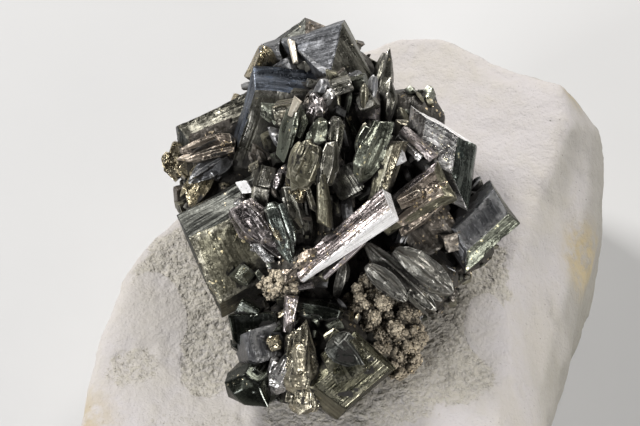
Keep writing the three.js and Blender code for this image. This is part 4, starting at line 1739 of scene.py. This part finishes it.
    def _strand(self, crystal: Crystal, rng: Draws) -> Crystal:
        """Slim crystal that runs along one of any other habit.

        Args:
            crystal: The larger crystal.
            rng: Its random draws.

        Returns:
            The slim one.
        """
        length, breadth, thick = crystal.spread()
        back = rng.uniform(0.02, 0.45)
        angle = rng.uniform(0, 2 * math.pi)
        reach = rng.uniform(0.4, 0.82)
        side, level = reach * breadth / 2 * math.cos(angle), reach * thick / 2 * math.sin(angle)
        seat = (-back * length, side, level)
        lean = rng.uniform(-7, 7, 3)
        long = length * rng.uniform(0.35, 0.95 - back)
        wide, deep = breadth * rng.uniform(0.2, 0.55), thick * rng.uniform(0.25, 0.6)
        if rng.random() < 0.5:
            return crystal.bear(Form.SPEAR, seat, lean, (long, wide, deep, 0.25 * long))
        return crystal.bear(Form.PRISM, seat, lean, (long, wide, deep))

    def _litter(self, crystal: Crystal, rng: Draws) -> Crystal:
        """Small crystal stuck to a tablet's broad face, mostly away from its corner.

        Args:
            crystal: The tablet.
            rng: Its random draws.

        Returns:
            The small one.
        """
        side_a, side_b, thick = crystal.sizes[:3]
        a, b = (1 - rng.uniform(0.05, 0.75, 2) ** 1.3) * (side_a, side_b)
        size = rng.uniform(0.7, 2.0)
        lean = (rng.uniform(-180, 180), rng.uniform(-10, 30), rng.uniform(0, 90))
        wide, thin = size * rng.uniform(0.5, 1.1), size * rng.uniform(0.4, 0.9)
        sizes = (size * 1.3, wide, thin, 0.3 * size, 90)
        return crystal.bear(Form.BLOCK, crystal.seat(a, b, thick / 2 - 0.1), lean, sizes)


@dataclass
class Druse:
    """Root masses under the crystals, covered with small ones.

    Attributes:
        frames: The part's frames.
        roots: The root masses.
        seed: Start of its random draws.
        density: Small crystals a square millimetre.
        smallest: Smallest size of them.
        largest: Largest size of them.
        kinds: Number of shapes that they have.
        lowest: Height in the block frame below which nothing grows.
    """

    frames: Frames
    roots: Roots
    seed: int = 77
    density: float = 0.17
    smallest: float = 0.55
    largest: float = 2.1
    kinds: int = 18
    lowest: float = 44.0
    bag: MeshBag = field(default_factory=MeshBag)

    def build(self) -> bpy.types.Object:
        """Meshes the masses and their small crystals.

        Returns:
            The piece.
        """
        rng = np.random.default_rng(self.seed)
        noise = Noise(self.seed)
        shapes = self._shapes(rng)
        points, faces = ball(4)
        for mass in self.roots.masses():
            lumpy = 1 + 0.1 * noise.fractal(points * mass.half / 2.0 + mass.centre, 4)
            placed = mass.centre + (points * mass.half * lumpy[:, None]) @ mass.axes
            placed[:, 2] = np.maximum(placed[:, 2], self._floor())
            self.bag.add(placed, faces, [ROOT] * len(faces), placed + 200)
            self._cover(mass, shapes, rng)
        return self.bag.piece("root_druse", 24)

    def _floor(self) -> float:
        """Height in the row frame below which nothing grows."""
        return self.frames.origin[2] + self.lowest

    def _shapes(self, rng: Draws) -> list[Facets]:
        """Small crystals of unit size, to be used many times.

        Args:
            rng: The druse's random draws.

        Returns:
            The fine mesh of each.
        """

        def whole(points: Array, normals: Array) -> Array:
            """Leaves every edge as it is."""
            return np.full(len(points), 9.0)

        made = []
        for number in range(self.kinds):
            if number % 3:
                a, b, c = rng.uniform(0.5, 1.3, 3)
                corners = block_corners(rng, a, b, 0.8 * c, 0.16, rng.uniform(75, 110))
                corners += (0.5 * (a + b) * 0.7, 0, 0)
            else:
                wide, thick = rng.uniform(0.5, 1), rng.uniform(0.4, 0.7)
                corners = prism_corners(rng, 1.9, wide, thick) + (0.8, 0, 0)
            made.append(Facets.of(corners, 0.0, whole))
        return made

    def _cover(self, mass: Mass, shapes: list[Facets], rng: Draws) -> None:
        """Grows small crystals over one mass.

        Args:
            mass: The mass.
            shapes: Fine meshes to choose from.
            rng: The druse's random draws.
        """
        finishes = [DARK, GREEN, GREY, OLIVE, BROWN, DARK, GREEN, BRASS, BROWN, OLIVE]
        area = 4 * math.pi * float(np.prod(mass.half)) ** (2 / 3)
        for _ in range(int(area * self.density)):
            out = unit(rng.normal(size=3))
            seat = mass.centre + (out * mass.half * rng.uniform(0.97, 1.05)) @ mass.axes
            if seat[2] < self._floor() + 0.5:
                continue
            size = self.smallest + (self.largest - self.smallest) * rng.random() ** 2.2
            steep = unit((out / mass.half) @ mass.axes)
            x = unit(0.5 * steep + rng.normal(scale=0.6, size=3))
            y = unit(np.cross(x, rng.normal(size=3)))
            shape = shapes[int(rng.integers(len(shapes)))]
            finish = finishes[int(rng.integers(len(finishes)))]
            placed = shape.points * size @ np.stack([x, y, np.cross(x, y)]) + seat
            own = np.full(len(placed), rng.uniform(0, 90))
            grain = np.column_stack([shape.edge * size, shape.along * size, own])
            # Half-worn edges, which also get half of the painted edge highlight.
            wear = np.full(len(placed), 0.5)
            self.bag.add(placed, shape.faces, [finish] * len(shape.faces), grain, wear)


# ---- brown crust


@dataclass(frozen=True)
class CrustFinish(Surface):
    """Granular earthy crust with small sparkling grains, and painted shade in its crevices.

    Attributes:
        name: The material's name.
        dark: Colour of its dullest grains.
        light: Colour of its palest ones.
        glint: Colour of the sparkling ones.
    """

    name: str = "brown_granules"
    dark: Colour = (0.21, 0.172, 0.122)
    light: Colour = (0.94, 0.82, 0.62)
    glint: Colour = (0.9, 0.74, 0.48)

    def _make(self) -> bpy.types.Material:
        """Builds the nodes.

        Returns:
            The material.
        """
        g = Graph(self.name)
        place = g.place()
        own = g.attribute("grain", "Vector")
        tone = g.noise(own, 3.1, 2.0)
        patch = g.noise(place, 0.5, 3.0)
        share = g.step(0.6 * tone + 0.4 * patch, 0.34, 0.66)
        sparkle = g.step(g.noise(own, 11.0, 1.0), 0.64, 0.7)
        crevice = g.attribute("crevice")
        colour = g.mix(g.clamp(share * g.attribute("wear")), self.dark, self.light)
        colour = g.mix(sparkle * 0.8, colour, self.glint)
        # Painted shade: hidden crevices of the crust are darkened to near black.
        colour = g.mix(g.step(crevice, 0.2, 0.7) * 0.8, colour, SHADE_AND_DIRT)
        rough = g.clamp(0.72 - 0.35 * sparkle + 0.2 * (patch - 0.5))
        relief = g.bump(g.noise(place, 7.0, 3.0, 0.7), 0.06)
        return g.finish(Base_Color=colour, Roughness=rough, Metallic=sparkle * 0.5, Normal=relief)


@dataclass(frozen=True)
class Knob:
    """One ball of the crust, in the tilted frame.

    Attributes:
        centre: Its centre.
        radius: Its radius.
        light: Its lightness, from 0 to 1.
    """

    centre: Array
    radius: float
    light: float


@dataclass
class BrownCrust:
    """Lump of brown crust: knobs on knobs, covered with grains.

    Attributes:
        name: The piece's name.
        lumps: Centres and radii in the tilted frame, with their lightness from 0 to 1.
        frames: The part's frames.
        seed: Start of its random draws.
        knobs: Number of knobs on each lump.
        grain: Size of one grain.
        spacing: Distance between grains.
    """

    name: str
    lumps: list[tuple[Triple, float, float]]
    frames: Frames
    seed: int
    knobs: int = 34
    grain: float = 0.27
    spacing: float = 0.56
    bag: MeshBag = field(default_factory=MeshBag)

    def build(self) -> bpy.types.Object:
        """Meshes the lumps, knobs and grains.

        Returns:
            The piece.
        """
        rng = np.random.default_rng(self.seed)
        finish = CrustFinish()
        noise = Noise(self.seed)
        knobs = self._knobs(rng)
        for knob in knobs:
            points, faces = ball(3 if knob.radius > 1.5 else 2)
            lumpy = 1 + 0.06 * noise.fractal(points * knob.radius / 0.8 + knob.centre, 3)
            placed = self.frames.from_tilted(knob.centre + points * knob.radius * lumpy[:, None])
            light = np.full(len(placed), knob.light)
            self.bag.add(placed, faces, [finish] * len(faces), wear=light)
        for knob in knobs:
            self._sprinkle(knob, knobs, finish, rng)
        return self.bag.piece(self.name, 20)

    def _knobs(self, rng: Draws) -> list[Knob]:
        """Balls that the crust is made of.

        Args:
            rng: The crust's random draws.

        Returns:
            The core of each lump, with the smaller balls on it.
        """
        balls = []
        for place, radius, light in self.lumps:
            centre = np.array(place, float)
            balls.append(Knob(centre, 0.74 * radius, light))
            for _ in range(self.knobs):
                out = unit(rng.normal(size=3))
                size = radius * rng.uniform(0.15, 0.3) * (1.4 if rng.random() < 0.3 else 1)
                own = light * rng.uniform(0.75, 1.1)
                balls.append(Knob(centre + out * (radius - 0.1 * size), size, own))
        return balls

    def _sprinkle(self, knob: Knob, knobs: list[Knob], finish: CrustFinish, rng: Draws) -> None:
        """Covers one ball with grains where no other ball hides it.

        Args:
            knob: The ball.
            knobs: All the balls.
            finish: The grains' finish.
            rng: The crust's random draws.
        """
        others = [other for other in knobs if other is not knob]
        shape, faces = ball(1)
        for _ in range(int(4 * math.pi * knob.radius**2 / self.spacing**2)):
            out = unit(rng.normal(size=3))
            seat = knob.centre + out * knob.radius * rng.uniform(0.98, 1.05)
            if any(np.linalg.norm(seat - other.centre) < other.radius * 0.94 for other in others):
                continue
            size = self.grain * rng.uniform(0.6, 1.35)
            stretch = rng.uniform(0.7, 1.3, 3)
            body = shape * (1 + rng.uniform(-0.18, 0.18, (len(shape), 1))) * size * stretch
            placed = self.frames.from_tilted(seat + body)
            own = np.tile(rng.uniform(0, 60, 3), (len(shape), 1))
            light = np.full(len(shape), knob.light)
            self.bag.add(placed, faces, [finish] * len(faces), own, light)


# ---- chalk


@dataclass(frozen=True)
class Patch:
    """Oval patch on the block's top face, in the block frame.

    Attributes:
        centre: Its centre.
        half: Its half-axes.
        turn: Degrees that it is turned counter-clockwise.
        weight: How worn it is, from 0 to 1.
    """

    centre: Pair
    half: Pair
    turn: float
    weight: float = 1.0

    def share(self, points: Array) -> Array:
        """How far inside the patch each point is.

        Args:
            points: Points of the block frame.

        Returns:
            1 at its middle, 0 on its rim and less outside.
        """
        turn = math.radians(self.turn)
        c, s = math.cos(turn), math.sin(turn)
        across = points[:, :2] - np.array(self.centre)
        u = (across @ np.array([c, s])) / self.half[0]
        v = (across @ np.array([-s, c])) / self.half[1]
        return 1 - np.sqrt(u * u + v * v)


@dataclass(frozen=True)
class ChalkFinish(Surface):
    """Matte white chalk with grey specks, worn patches, pale brown stains and painted shade on its
    right side.

    Attributes:
        name: The material's name.
        clean: Colour of the clean top.
        warm: Colour of its slightly warmer areas.
        worn: Colour of the worn patches.
        right_side_shade: Darker colour of the right side, painted there as shade.
        speck: Colour of the specks and crumbs.
        stain: Colour of the stains.
    """

    name: str = "white_chalk"
    clean: Colour = (0.51, 0.482, 0.478)
    warm: Colour = (0.5, 0.468, 0.43)
    worn: Colour = (0.48, 0.448, 0.385)
    right_side_shade: Colour = (0.23, 0.219, 0.18)
    speck: Colour = (0.13, 0.12, 0.105)
    stain: Colour = (0.42, 0.34, 0.2)

    def _make(self) -> bpy.types.Material:
        """Builds the nodes.

        Returns:
            The material.
        """
        g = Graph(self.name)
        place = g.place()
        soft = g.attribute("worn")
        stain = g.attribute("stain")
        side = g.attribute("side")
        cloud = g.noise(place, 0.05, 4.0, 0.6)
        mottle = g.noise(place, 0.4, 3.0, 0.6)
        powder = g.noise(place, 2.0, 2.0, 0.5)
        sugar = g.crystallites(g.scaled(place, (1.25, 1.25, 1.25)))
        grit = g.noise(place, 1.15, 2.0, 0.55)
        ragged = 0.9 * (g.noise(place, 0.5, 5.0, 0.8) - 0.5) + 0.3 * (powder - 0.5)
        worn = g.step(soft + ragged, 0.28, 0.62)
        near = g.step(g.noise(place, 0.16, 3.0), 0.42, 0.64)
        dots = g.step(g.noise(place, 1.5, 3.0, 0.65), 0.66, 0.72)

        colour = g.mix(g.step(cloud, 0.35, 0.68), self.clean, self.warm)
        colour = g.mix(0.22 * g.step(mottle, 0.4, 0.75), colour, self.worn)
        # Painted shade: the block's right side is darkened where the side layer marks it.
        colour = g.mix(side * 0.75, colour, self.right_side_shade)
        colour = g.mix(g.clamp(worn * (0.5 + 0.6 * g.step(grit, 0.3, 0.7))), colour, self.worn)
        colour = g.mix(dots * (0.3 + 0.55 * near), colour, self.speck)
        crumbs = worn * g.step(powder + 0.2 * (sugar.tone - 0.5), 0.6, 0.68)
        colour = g.mix(g.clamp(crumbs * 0.25), colour, self.speck)
        soaked = stain * g.step(g.noise(place, 0.35, 4.0, 0.6), 0.3, 0.62)
        colour = g.mix(g.clamp(soaked * 0.9), colour, self.stain)

        relief = g.bump(powder, 0.13)
        relief = g.bump(mottle, 0.5, relief)
        relief = g.bump(sugar.height * (0.1 + 0.9 * worn), 0.34, relief)
        relief = g.bump((grit - 0.5) * (0.15 + 0.85 * worn), 0.62, relief)
        rough = g.clamp(0.9 + 0.12 * (powder - 0.5))
        return g.finish(Base_Color=colour, Roughness=rough, Metallic=0.0, Normal=relief)


@dataclass
class ChalkBlock:
    """The broken block of chalk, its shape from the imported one.

    Attributes:
        frames: The part's frames.
        voxel: Size of the mesh's cells.
        worn: Rough, darker patches of the top face.
        clean: Clean spots inside them.
        stains: Pale brown stains, as points of the block frame and reach.
        easing: Number of times that the cells are smoothed.
        split: How worn a face has to be to be split.
    """

    frames: Frames
    voxel: float = 0.95
    worn: tuple[Patch, ...] = (
        Patch((-24.5, -3), (9.5, 10), -30),
        Patch((-21, -14), (6, 12), 14),
        Patch((-19.5, -24), (5.5, 6.5), 0),
        Patch((-33.4, -24.6), (5.6, 4.4), 20, 0.5),
        Patch((24, -10), (9, 14), -35),
        Patch((20, -24), (12, 8), -20),
        Patch((6, -33), (16, 7), 5, 0.55),
        Patch((-22, -38), (11, 5), 0, 0.35),
    )
    clean: tuple[Patch, ...] = (
        Patch((30, -15.6), (4.2, 8), 0),
        Patch((-29, -12), (5, 9), 20),
    )
    stains: tuple[tuple[Triple, float], ...] = (
        ((51.6, 8, 32), 11.0),
        ((-42.5, -35.5, 39.5), 12.5),
        ((47, 40, 40), 6.0),
    )
    easing: int = 12
    split: float = 0.15

    def build(self) -> bpy.types.Object:
        """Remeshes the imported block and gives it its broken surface.

        Returns:
            The piece.
        """
        piece = linked("chalk_rock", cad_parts[CHALK_NODE].data.copy())
        piece.data.materials.clear()
        remesh = piece.modifiers.new("cells", "REMESH")
        remesh.mode = "VOXEL"
        remesh.voxel_size = self.voxel * MM
        ease = piece.modifiers.new("ease", "SMOOTH")
        ease.factor = 0.5
        ease.iterations = self.easing
        seen = piece.evaluated_get(bpy.context.evaluated_depsgraph_get())
        mesh = bpy.data.meshes.new_from_object(seen)
        piece.modifiers.clear()
        piece.data = mesh
        mesh.name = "chalk_rock"
        self._refine(mesh)
        self._weather(mesh)
        mesh.materials.append(ChalkFinish().material())
        mesh.shade_smooth()
        log.info("chalk_rock: %d faces", len(mesh.polygons))
        return piece

    def _worn_share(self, points: Array) -> Array:
        """How worn the top face is.

        Args:
            points: Points of the block frame.

        Returns:
            The worn share of each point, from 0 to 1.
        """
        noise = Noise(5)
        ragged = 0.34 * noise.fractal(points / 5.5, 4, 0.55)
        share = np.zeros(len(points))
        for patch in self.worn:
            share = np.maximum(share, patch.weight * smooth(-0.2, 0.26, patch.share(points) + ragged))
        for patch in self.clean:
            share *= 1 - smooth(0.0, 0.15, patch.share(points) + 0.4 * ragged)
        return share * smooth(36, 43, points[:, 2])

    def _refine(self, mesh: bpy.types.Mesh) -> None:
        """Splits the faces of the worn patches.

        Args:
            mesh: The block's mesh.
        """
        bm = bmesh.new()
        bm.from_mesh(mesh)
        middles = np.array([f.calc_center_median() for f in bm.faces])
        share = self._worn_share(self.frames.to_block(middles / MM))
        rough = [f for f, s in zip(bm.faces, share) if s > self.split]
        edges = list({e for f in rough for e in f.edges})
        bmesh.ops.subdivide_edges(bm, edges=edges, cuts=1, use_grid_fill=True)
        bmesh.ops.triangulate(bm, faces=[f for f in bm.faces if len(f.verts) > 4])
        bm.to_mesh(mesh)
        bm.free()

    def _weather(self, mesh: bpy.types.Mesh) -> None:
        """Displaces the surface and stores its worn and stained shares, and the side share that marks
        where the right side gets painted shade.

        Args:
            mesh: The block's mesh.
        """
        points = vectors_of(mesh, "co") / MM
        normals = vectors_of(mesh, "normal")
        local = self.frames.to_block(points)
        noise = Noise(9)
        worn = self._worn_share(local)
        side = 1 - smooth(0.35, 0.8, np.abs(normals[:, 2]))
        relief = 0.3 * noise.fractal(local / 14, 4) + 0.1 * noise.fractal(local / 2.6 + 30, 3)
        broken = 0.55 * noise.fractal(local / 9 + 60, 4) + 0.16 * noise.fractal(local / 2.2, 3)
        relief += side * broken
        relief += worn * (0.26 * noise.fractal(local / 1.7 + 80, 3, 0.65) - 0.12)
        relief -= 0.5 * smooth(0.02, 0.5, noise.fractal(local / 7 + 20, 4, 0.6))
        relief *= smooth(0.4, 3.0, local[:, 2])
        points = points + normals * relief[:, None]
        mesh.vertices.foreach_set("co", (points * MM).ravel())
        mesh.update()
        store(mesh, "worn", worn)
        store(mesh, "stain", self._stained(local))
        # Side share: steep faces towards the right, which the chalk's finish darkens as painted shade.
        store(mesh, "side", side * smooth(25, 45, local[:, 0] + 0.2 * local[:, 1]))

    def _stained(self, points: Array) -> Array:
        """How stained the surface is.

        Args:
            points: Points of the block frame.

        Returns:
            The stained share of each point, from 0 to 1.
        """
        share = np.zeros(len(points))
        for centre, reach in self.stains:
            gap = np.linalg.norm(points - np.array(centre), axis=1)
            share = np.maximum(share, 1 - smooth(0.25 * reach, reach, gap))
        return share


# ---- crevices


@dataclass
class Crevices:
    """Works out how much of its sky each point of a piece has lost to its neighbours, for the finishes
    to paint shade with.

    Attributes:
        rays: Directions tried from each point.
        reach: How far a neighbour counts.
        lift: Distance from the surface that a ray starts at.
        cell: Points closer than this, facing the same way, share one answer.
    """

    rays: int = 14
    reach: float = 8.0
    lift: float = 0.4
    cell: float = 0.9

    def shade(self, pieces: Sequence[bpy.types.Object]) -> None:
        """Stores the share on every piece, as its crevice layer, which the finishes turn into painted
        shade.

        Args:
            pieces: The pieces, all of them neighbours of each other.
        """
        points, faces, first = [], [], 0
        for piece in pieces:
            points.append(vectors_of(piece.data, "co") / MM)
            faces.append(np.array([face.vertices[:] for face in piece.data.polygons]) + first)
            first += len(piece.data.vertices)
        tree = BVHTree.FromPolygons(np.concatenate(points).tolist(), np.concatenate(faces).tolist())
        for piece, own in zip(pieces, points):
            share = self._share(tree, own, vectors_of(piece.data, "normal"))
            store(piece.data, "crevice", share)

    def _directions(self) -> Array:
        """Directions spread evenly over a ball.

        Returns:
            The directions as rows.
        """
        number = np.arange(self.rays) + 0.5
        polar = np.arccos(1 - 2 * number / self.rays)
        turn = math.pi * (1 + 5**0.5) * number
        flat = np.sin(polar)
        return np.stack([np.cos(turn) * flat, np.sin(turn) * flat, np.cos(polar)], axis=1)

    def _share(self, tree: BVHTree, points: Array, normals: Array) -> Array:
        """Hidden share of the sky over each point, with one try for points close together.

        Args:
            tree: All the pieces' triangles.
            points: One piece's points, in millimetres.
            normals: Their normals.

        Returns:
            The hidden share of each point, from 0 to 1.
        """
        key = np.column_stack([np.round(points / self.cell), np.round(normals * 1.2)])
        _, first, group = np.unique(
            key.astype(np.int16), axis=0, return_index=True, return_inverse=True
        )
        starts = (points + normals * self.lift)[first]
        ways = unit_rows(self._directions()[None] + normals[first][:, None] * 1.05)
        share = np.zeros(len(first))
        cast = tree.ray_cast
        for i, (start, row) in enumerate(zip(starts.tolist(), ways.tolist())):
            share[i] = sum(cast(start, way, self.reach)[0] is not None for way in row)
        return share[group.ravel()] / self.rays


# ---- studio


@dataclass(frozen=True)
class SoftBox:
    """Square light that faces the specimen.

    Attributes:
        name: Its name.
        offset: Its place from what it faces, in millimetres.
        size: Its side, in millimetres.
        power: Watts.
        colour: Its colour.
    """

    name: str
    offset: Triple
    size: float
    power: float
    colour: Colour

    def hang(self, target: Vector) -> None:
        """Adds the light.

        Args:
            target: Point that it faces, in metres.
        """
        data = bpy.data.lights.new(self.name, "AREA")
        data.shape = "SQUARE"
        data.size = self.size * MM
        data.energy = self.power
        data.color = self.colour
        lamp = linked(self.name, data)
        lamp.location = target + Vector(self.offset) * MM
        lamp.rotation_euler = (-Vector(self.offset)).to_track_quat("-Z", "Y").to_euler()


@dataclass
class Studio:
    """Pale floor, soft lights and the camera.

    Attributes:
        frames: The part's frames.
        distance: From the camera to the cluster, in millimetres.
        elevation: Degrees that the camera looks down.
        lens: Focal length.
        lights: The lights.
        glow: Colour of the air.
        glow_strength: Its strength.
        floor_half: Half the floor's side, in metres.
        floor_drop: How far the floor lies under the block, in metres.
    """

    frames: Frames
    distance: float = 432.0
    elevation: float = 55.0
    lens: float = 135.0
    lights: tuple[SoftBox, ...] = (
        SoftBox("key", (-560, 430, 560), 300, 8.8, (1.0, 0.985, 0.97)),
        SoftBox("far", (420, 620, 470), 260, 5.8, (1.0, 0.98, 0.96)),
        SoftBox("front", (-600, -560, 420), 280, 4.3, (0.97, 0.98, 1.0)),
        SoftBox("low", (560, -560, 300), 260, 4.5, (1.0, 0.99, 0.98)),
    )
    glow: Colour = (0.8, 0.83, 0.88)
    glow_strength: float = 0.062
    floor_half: float = 2.5
    floor_drop: float = 0.0002

    def build(self) -> None:
        """Adds everything round the specimen."""
        self._floor()
        target = Vector(self.frames.from_tilted(np.zeros((1, 3)))[0]) * MM
        self._camera(target)
        for light in self.lights:
            light.hang(target)
        self._air()

    def _camera(self, target: Vector) -> None:
        """Adds the camera.

        Args:
            target: Point that it looks at, in metres.
        """
        lean = math.radians(self.elevation)
        away = Vector((0, -math.cos(lean), math.sin(lean))) * self.distance * MM
        data = bpy.data.cameras.new("view")
        data.lens = self.lens
        data.sensor_width = 36.0
        data.clip_start = 0.01
        camera = linked("view", data)
        camera.location = target + away
        camera.rotation_euler = (-away).to_track_quat("-Z", "Y").to_euler()
        bpy.context.scene.camera = camera

    def _air(self) -> None:
        """Adds the faint light from all round."""
        world = bpy.data.worlds.new("studio_air")
        world.use_nodes = True
        air = world.node_tree.nodes["Background"]
        air.inputs["Color"].default_value = opaque(self.glow)
        air.inputs["Strength"].default_value = self.glow_strength
        bpy.context.scene.world = world
        bpy.context.scene.view_settings.view_transform = "Standard"

    def _floor(self) -> None:
        """Adds the floor that the block stands on."""
        bm = bmesh.new()
        bmesh.ops.create_grid(bm, x_segments=8, y_segments=8, size=self.floor_half)
        mesh = bpy.data.meshes.new("studio_floor")
        bm.to_mesh(mesh)
        bm.free()
        g = Graph("pale_floor")
        tone = g.noise(g.place(), 0.02, 3.0)
        colour = g.mix(tone, (0.5, 0.5, 0.5), (0.54, 0.54, 0.535))
        mesh.materials.append(g.finish(Base_Color=colour, Roughness=0.85, Metallic=0.0))
        floor = linked("studio_floor", mesh)
        floor.location.z = -self.floor_drop
        floor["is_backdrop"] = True


# ---- specimen


def dress(piece: bpy.types.Object, node: str) -> None:
    """Ties a piece to the body and hides the solid that it stands for.

    Args:
        piece: The piece.
        node: The solid's node.
    """
    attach(piece, "root")
    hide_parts(node)


def main() -> None:
    """Builds the specimen and the studio, and works out the two boxes."""
    logging.basicConfig(level=logging.INFO, format="%(message)s")
    cad_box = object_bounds()
    frames = Frames.on_block()
    roots = Roots(frames)
    Studio(frames).build()

    groups = {
        "crown": CROWN,
        "great_blade": GREAT_BLADE,
        "centre_stack": CENTRE_STACK,
        "brassy_group": BRASSY_GROUP,
        "left_tablet": LEFT_TABLET,
        "bright_bar": BRIGHT_BAR,
        "right_side": RIGHT_SIDE,
        "lens_sheaf": LENS_SHEAF,
        "foot": FOOT,
    }
    cluster = [
        CrystalGroup(name, crystals, frames, roots, seed).build()
        for seed, (name, crystals) in enumerate(groups.items(), 1)
    ]
    cluster.append(CrystalGroup("rear_group", REAR, frames, roots, 50, False, 1.1).build())
    cluster.append(Druse(frames, roots).build())
    crusts = [
        BrownCrust("brown_crust_large_grains", LARGE_CRUST, frames, 31).build(),
        BrownCrust("brown_crust_small_grains", SMALL_CRUST, frames, 32, knobs=12).build(),
    ]
    Crevices(rays=14).shade(cluster + crusts)
    for piece in cluster:
        dress(piece, CLUSTER_NODE)
    for piece, node in zip(crusts, ("brown_crust_large", "brown_crust_small")):
        dress(piece, node)
    dress(ChalkBlock(frames).build(), CHALK_NODE)

    boxes = {"cad": cad_box, "visual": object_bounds()}
    plain = {key: [list(map(float, corner)) for corner in box] for key, box in boxes.items()}


if __name__ == "__main__":
    main()
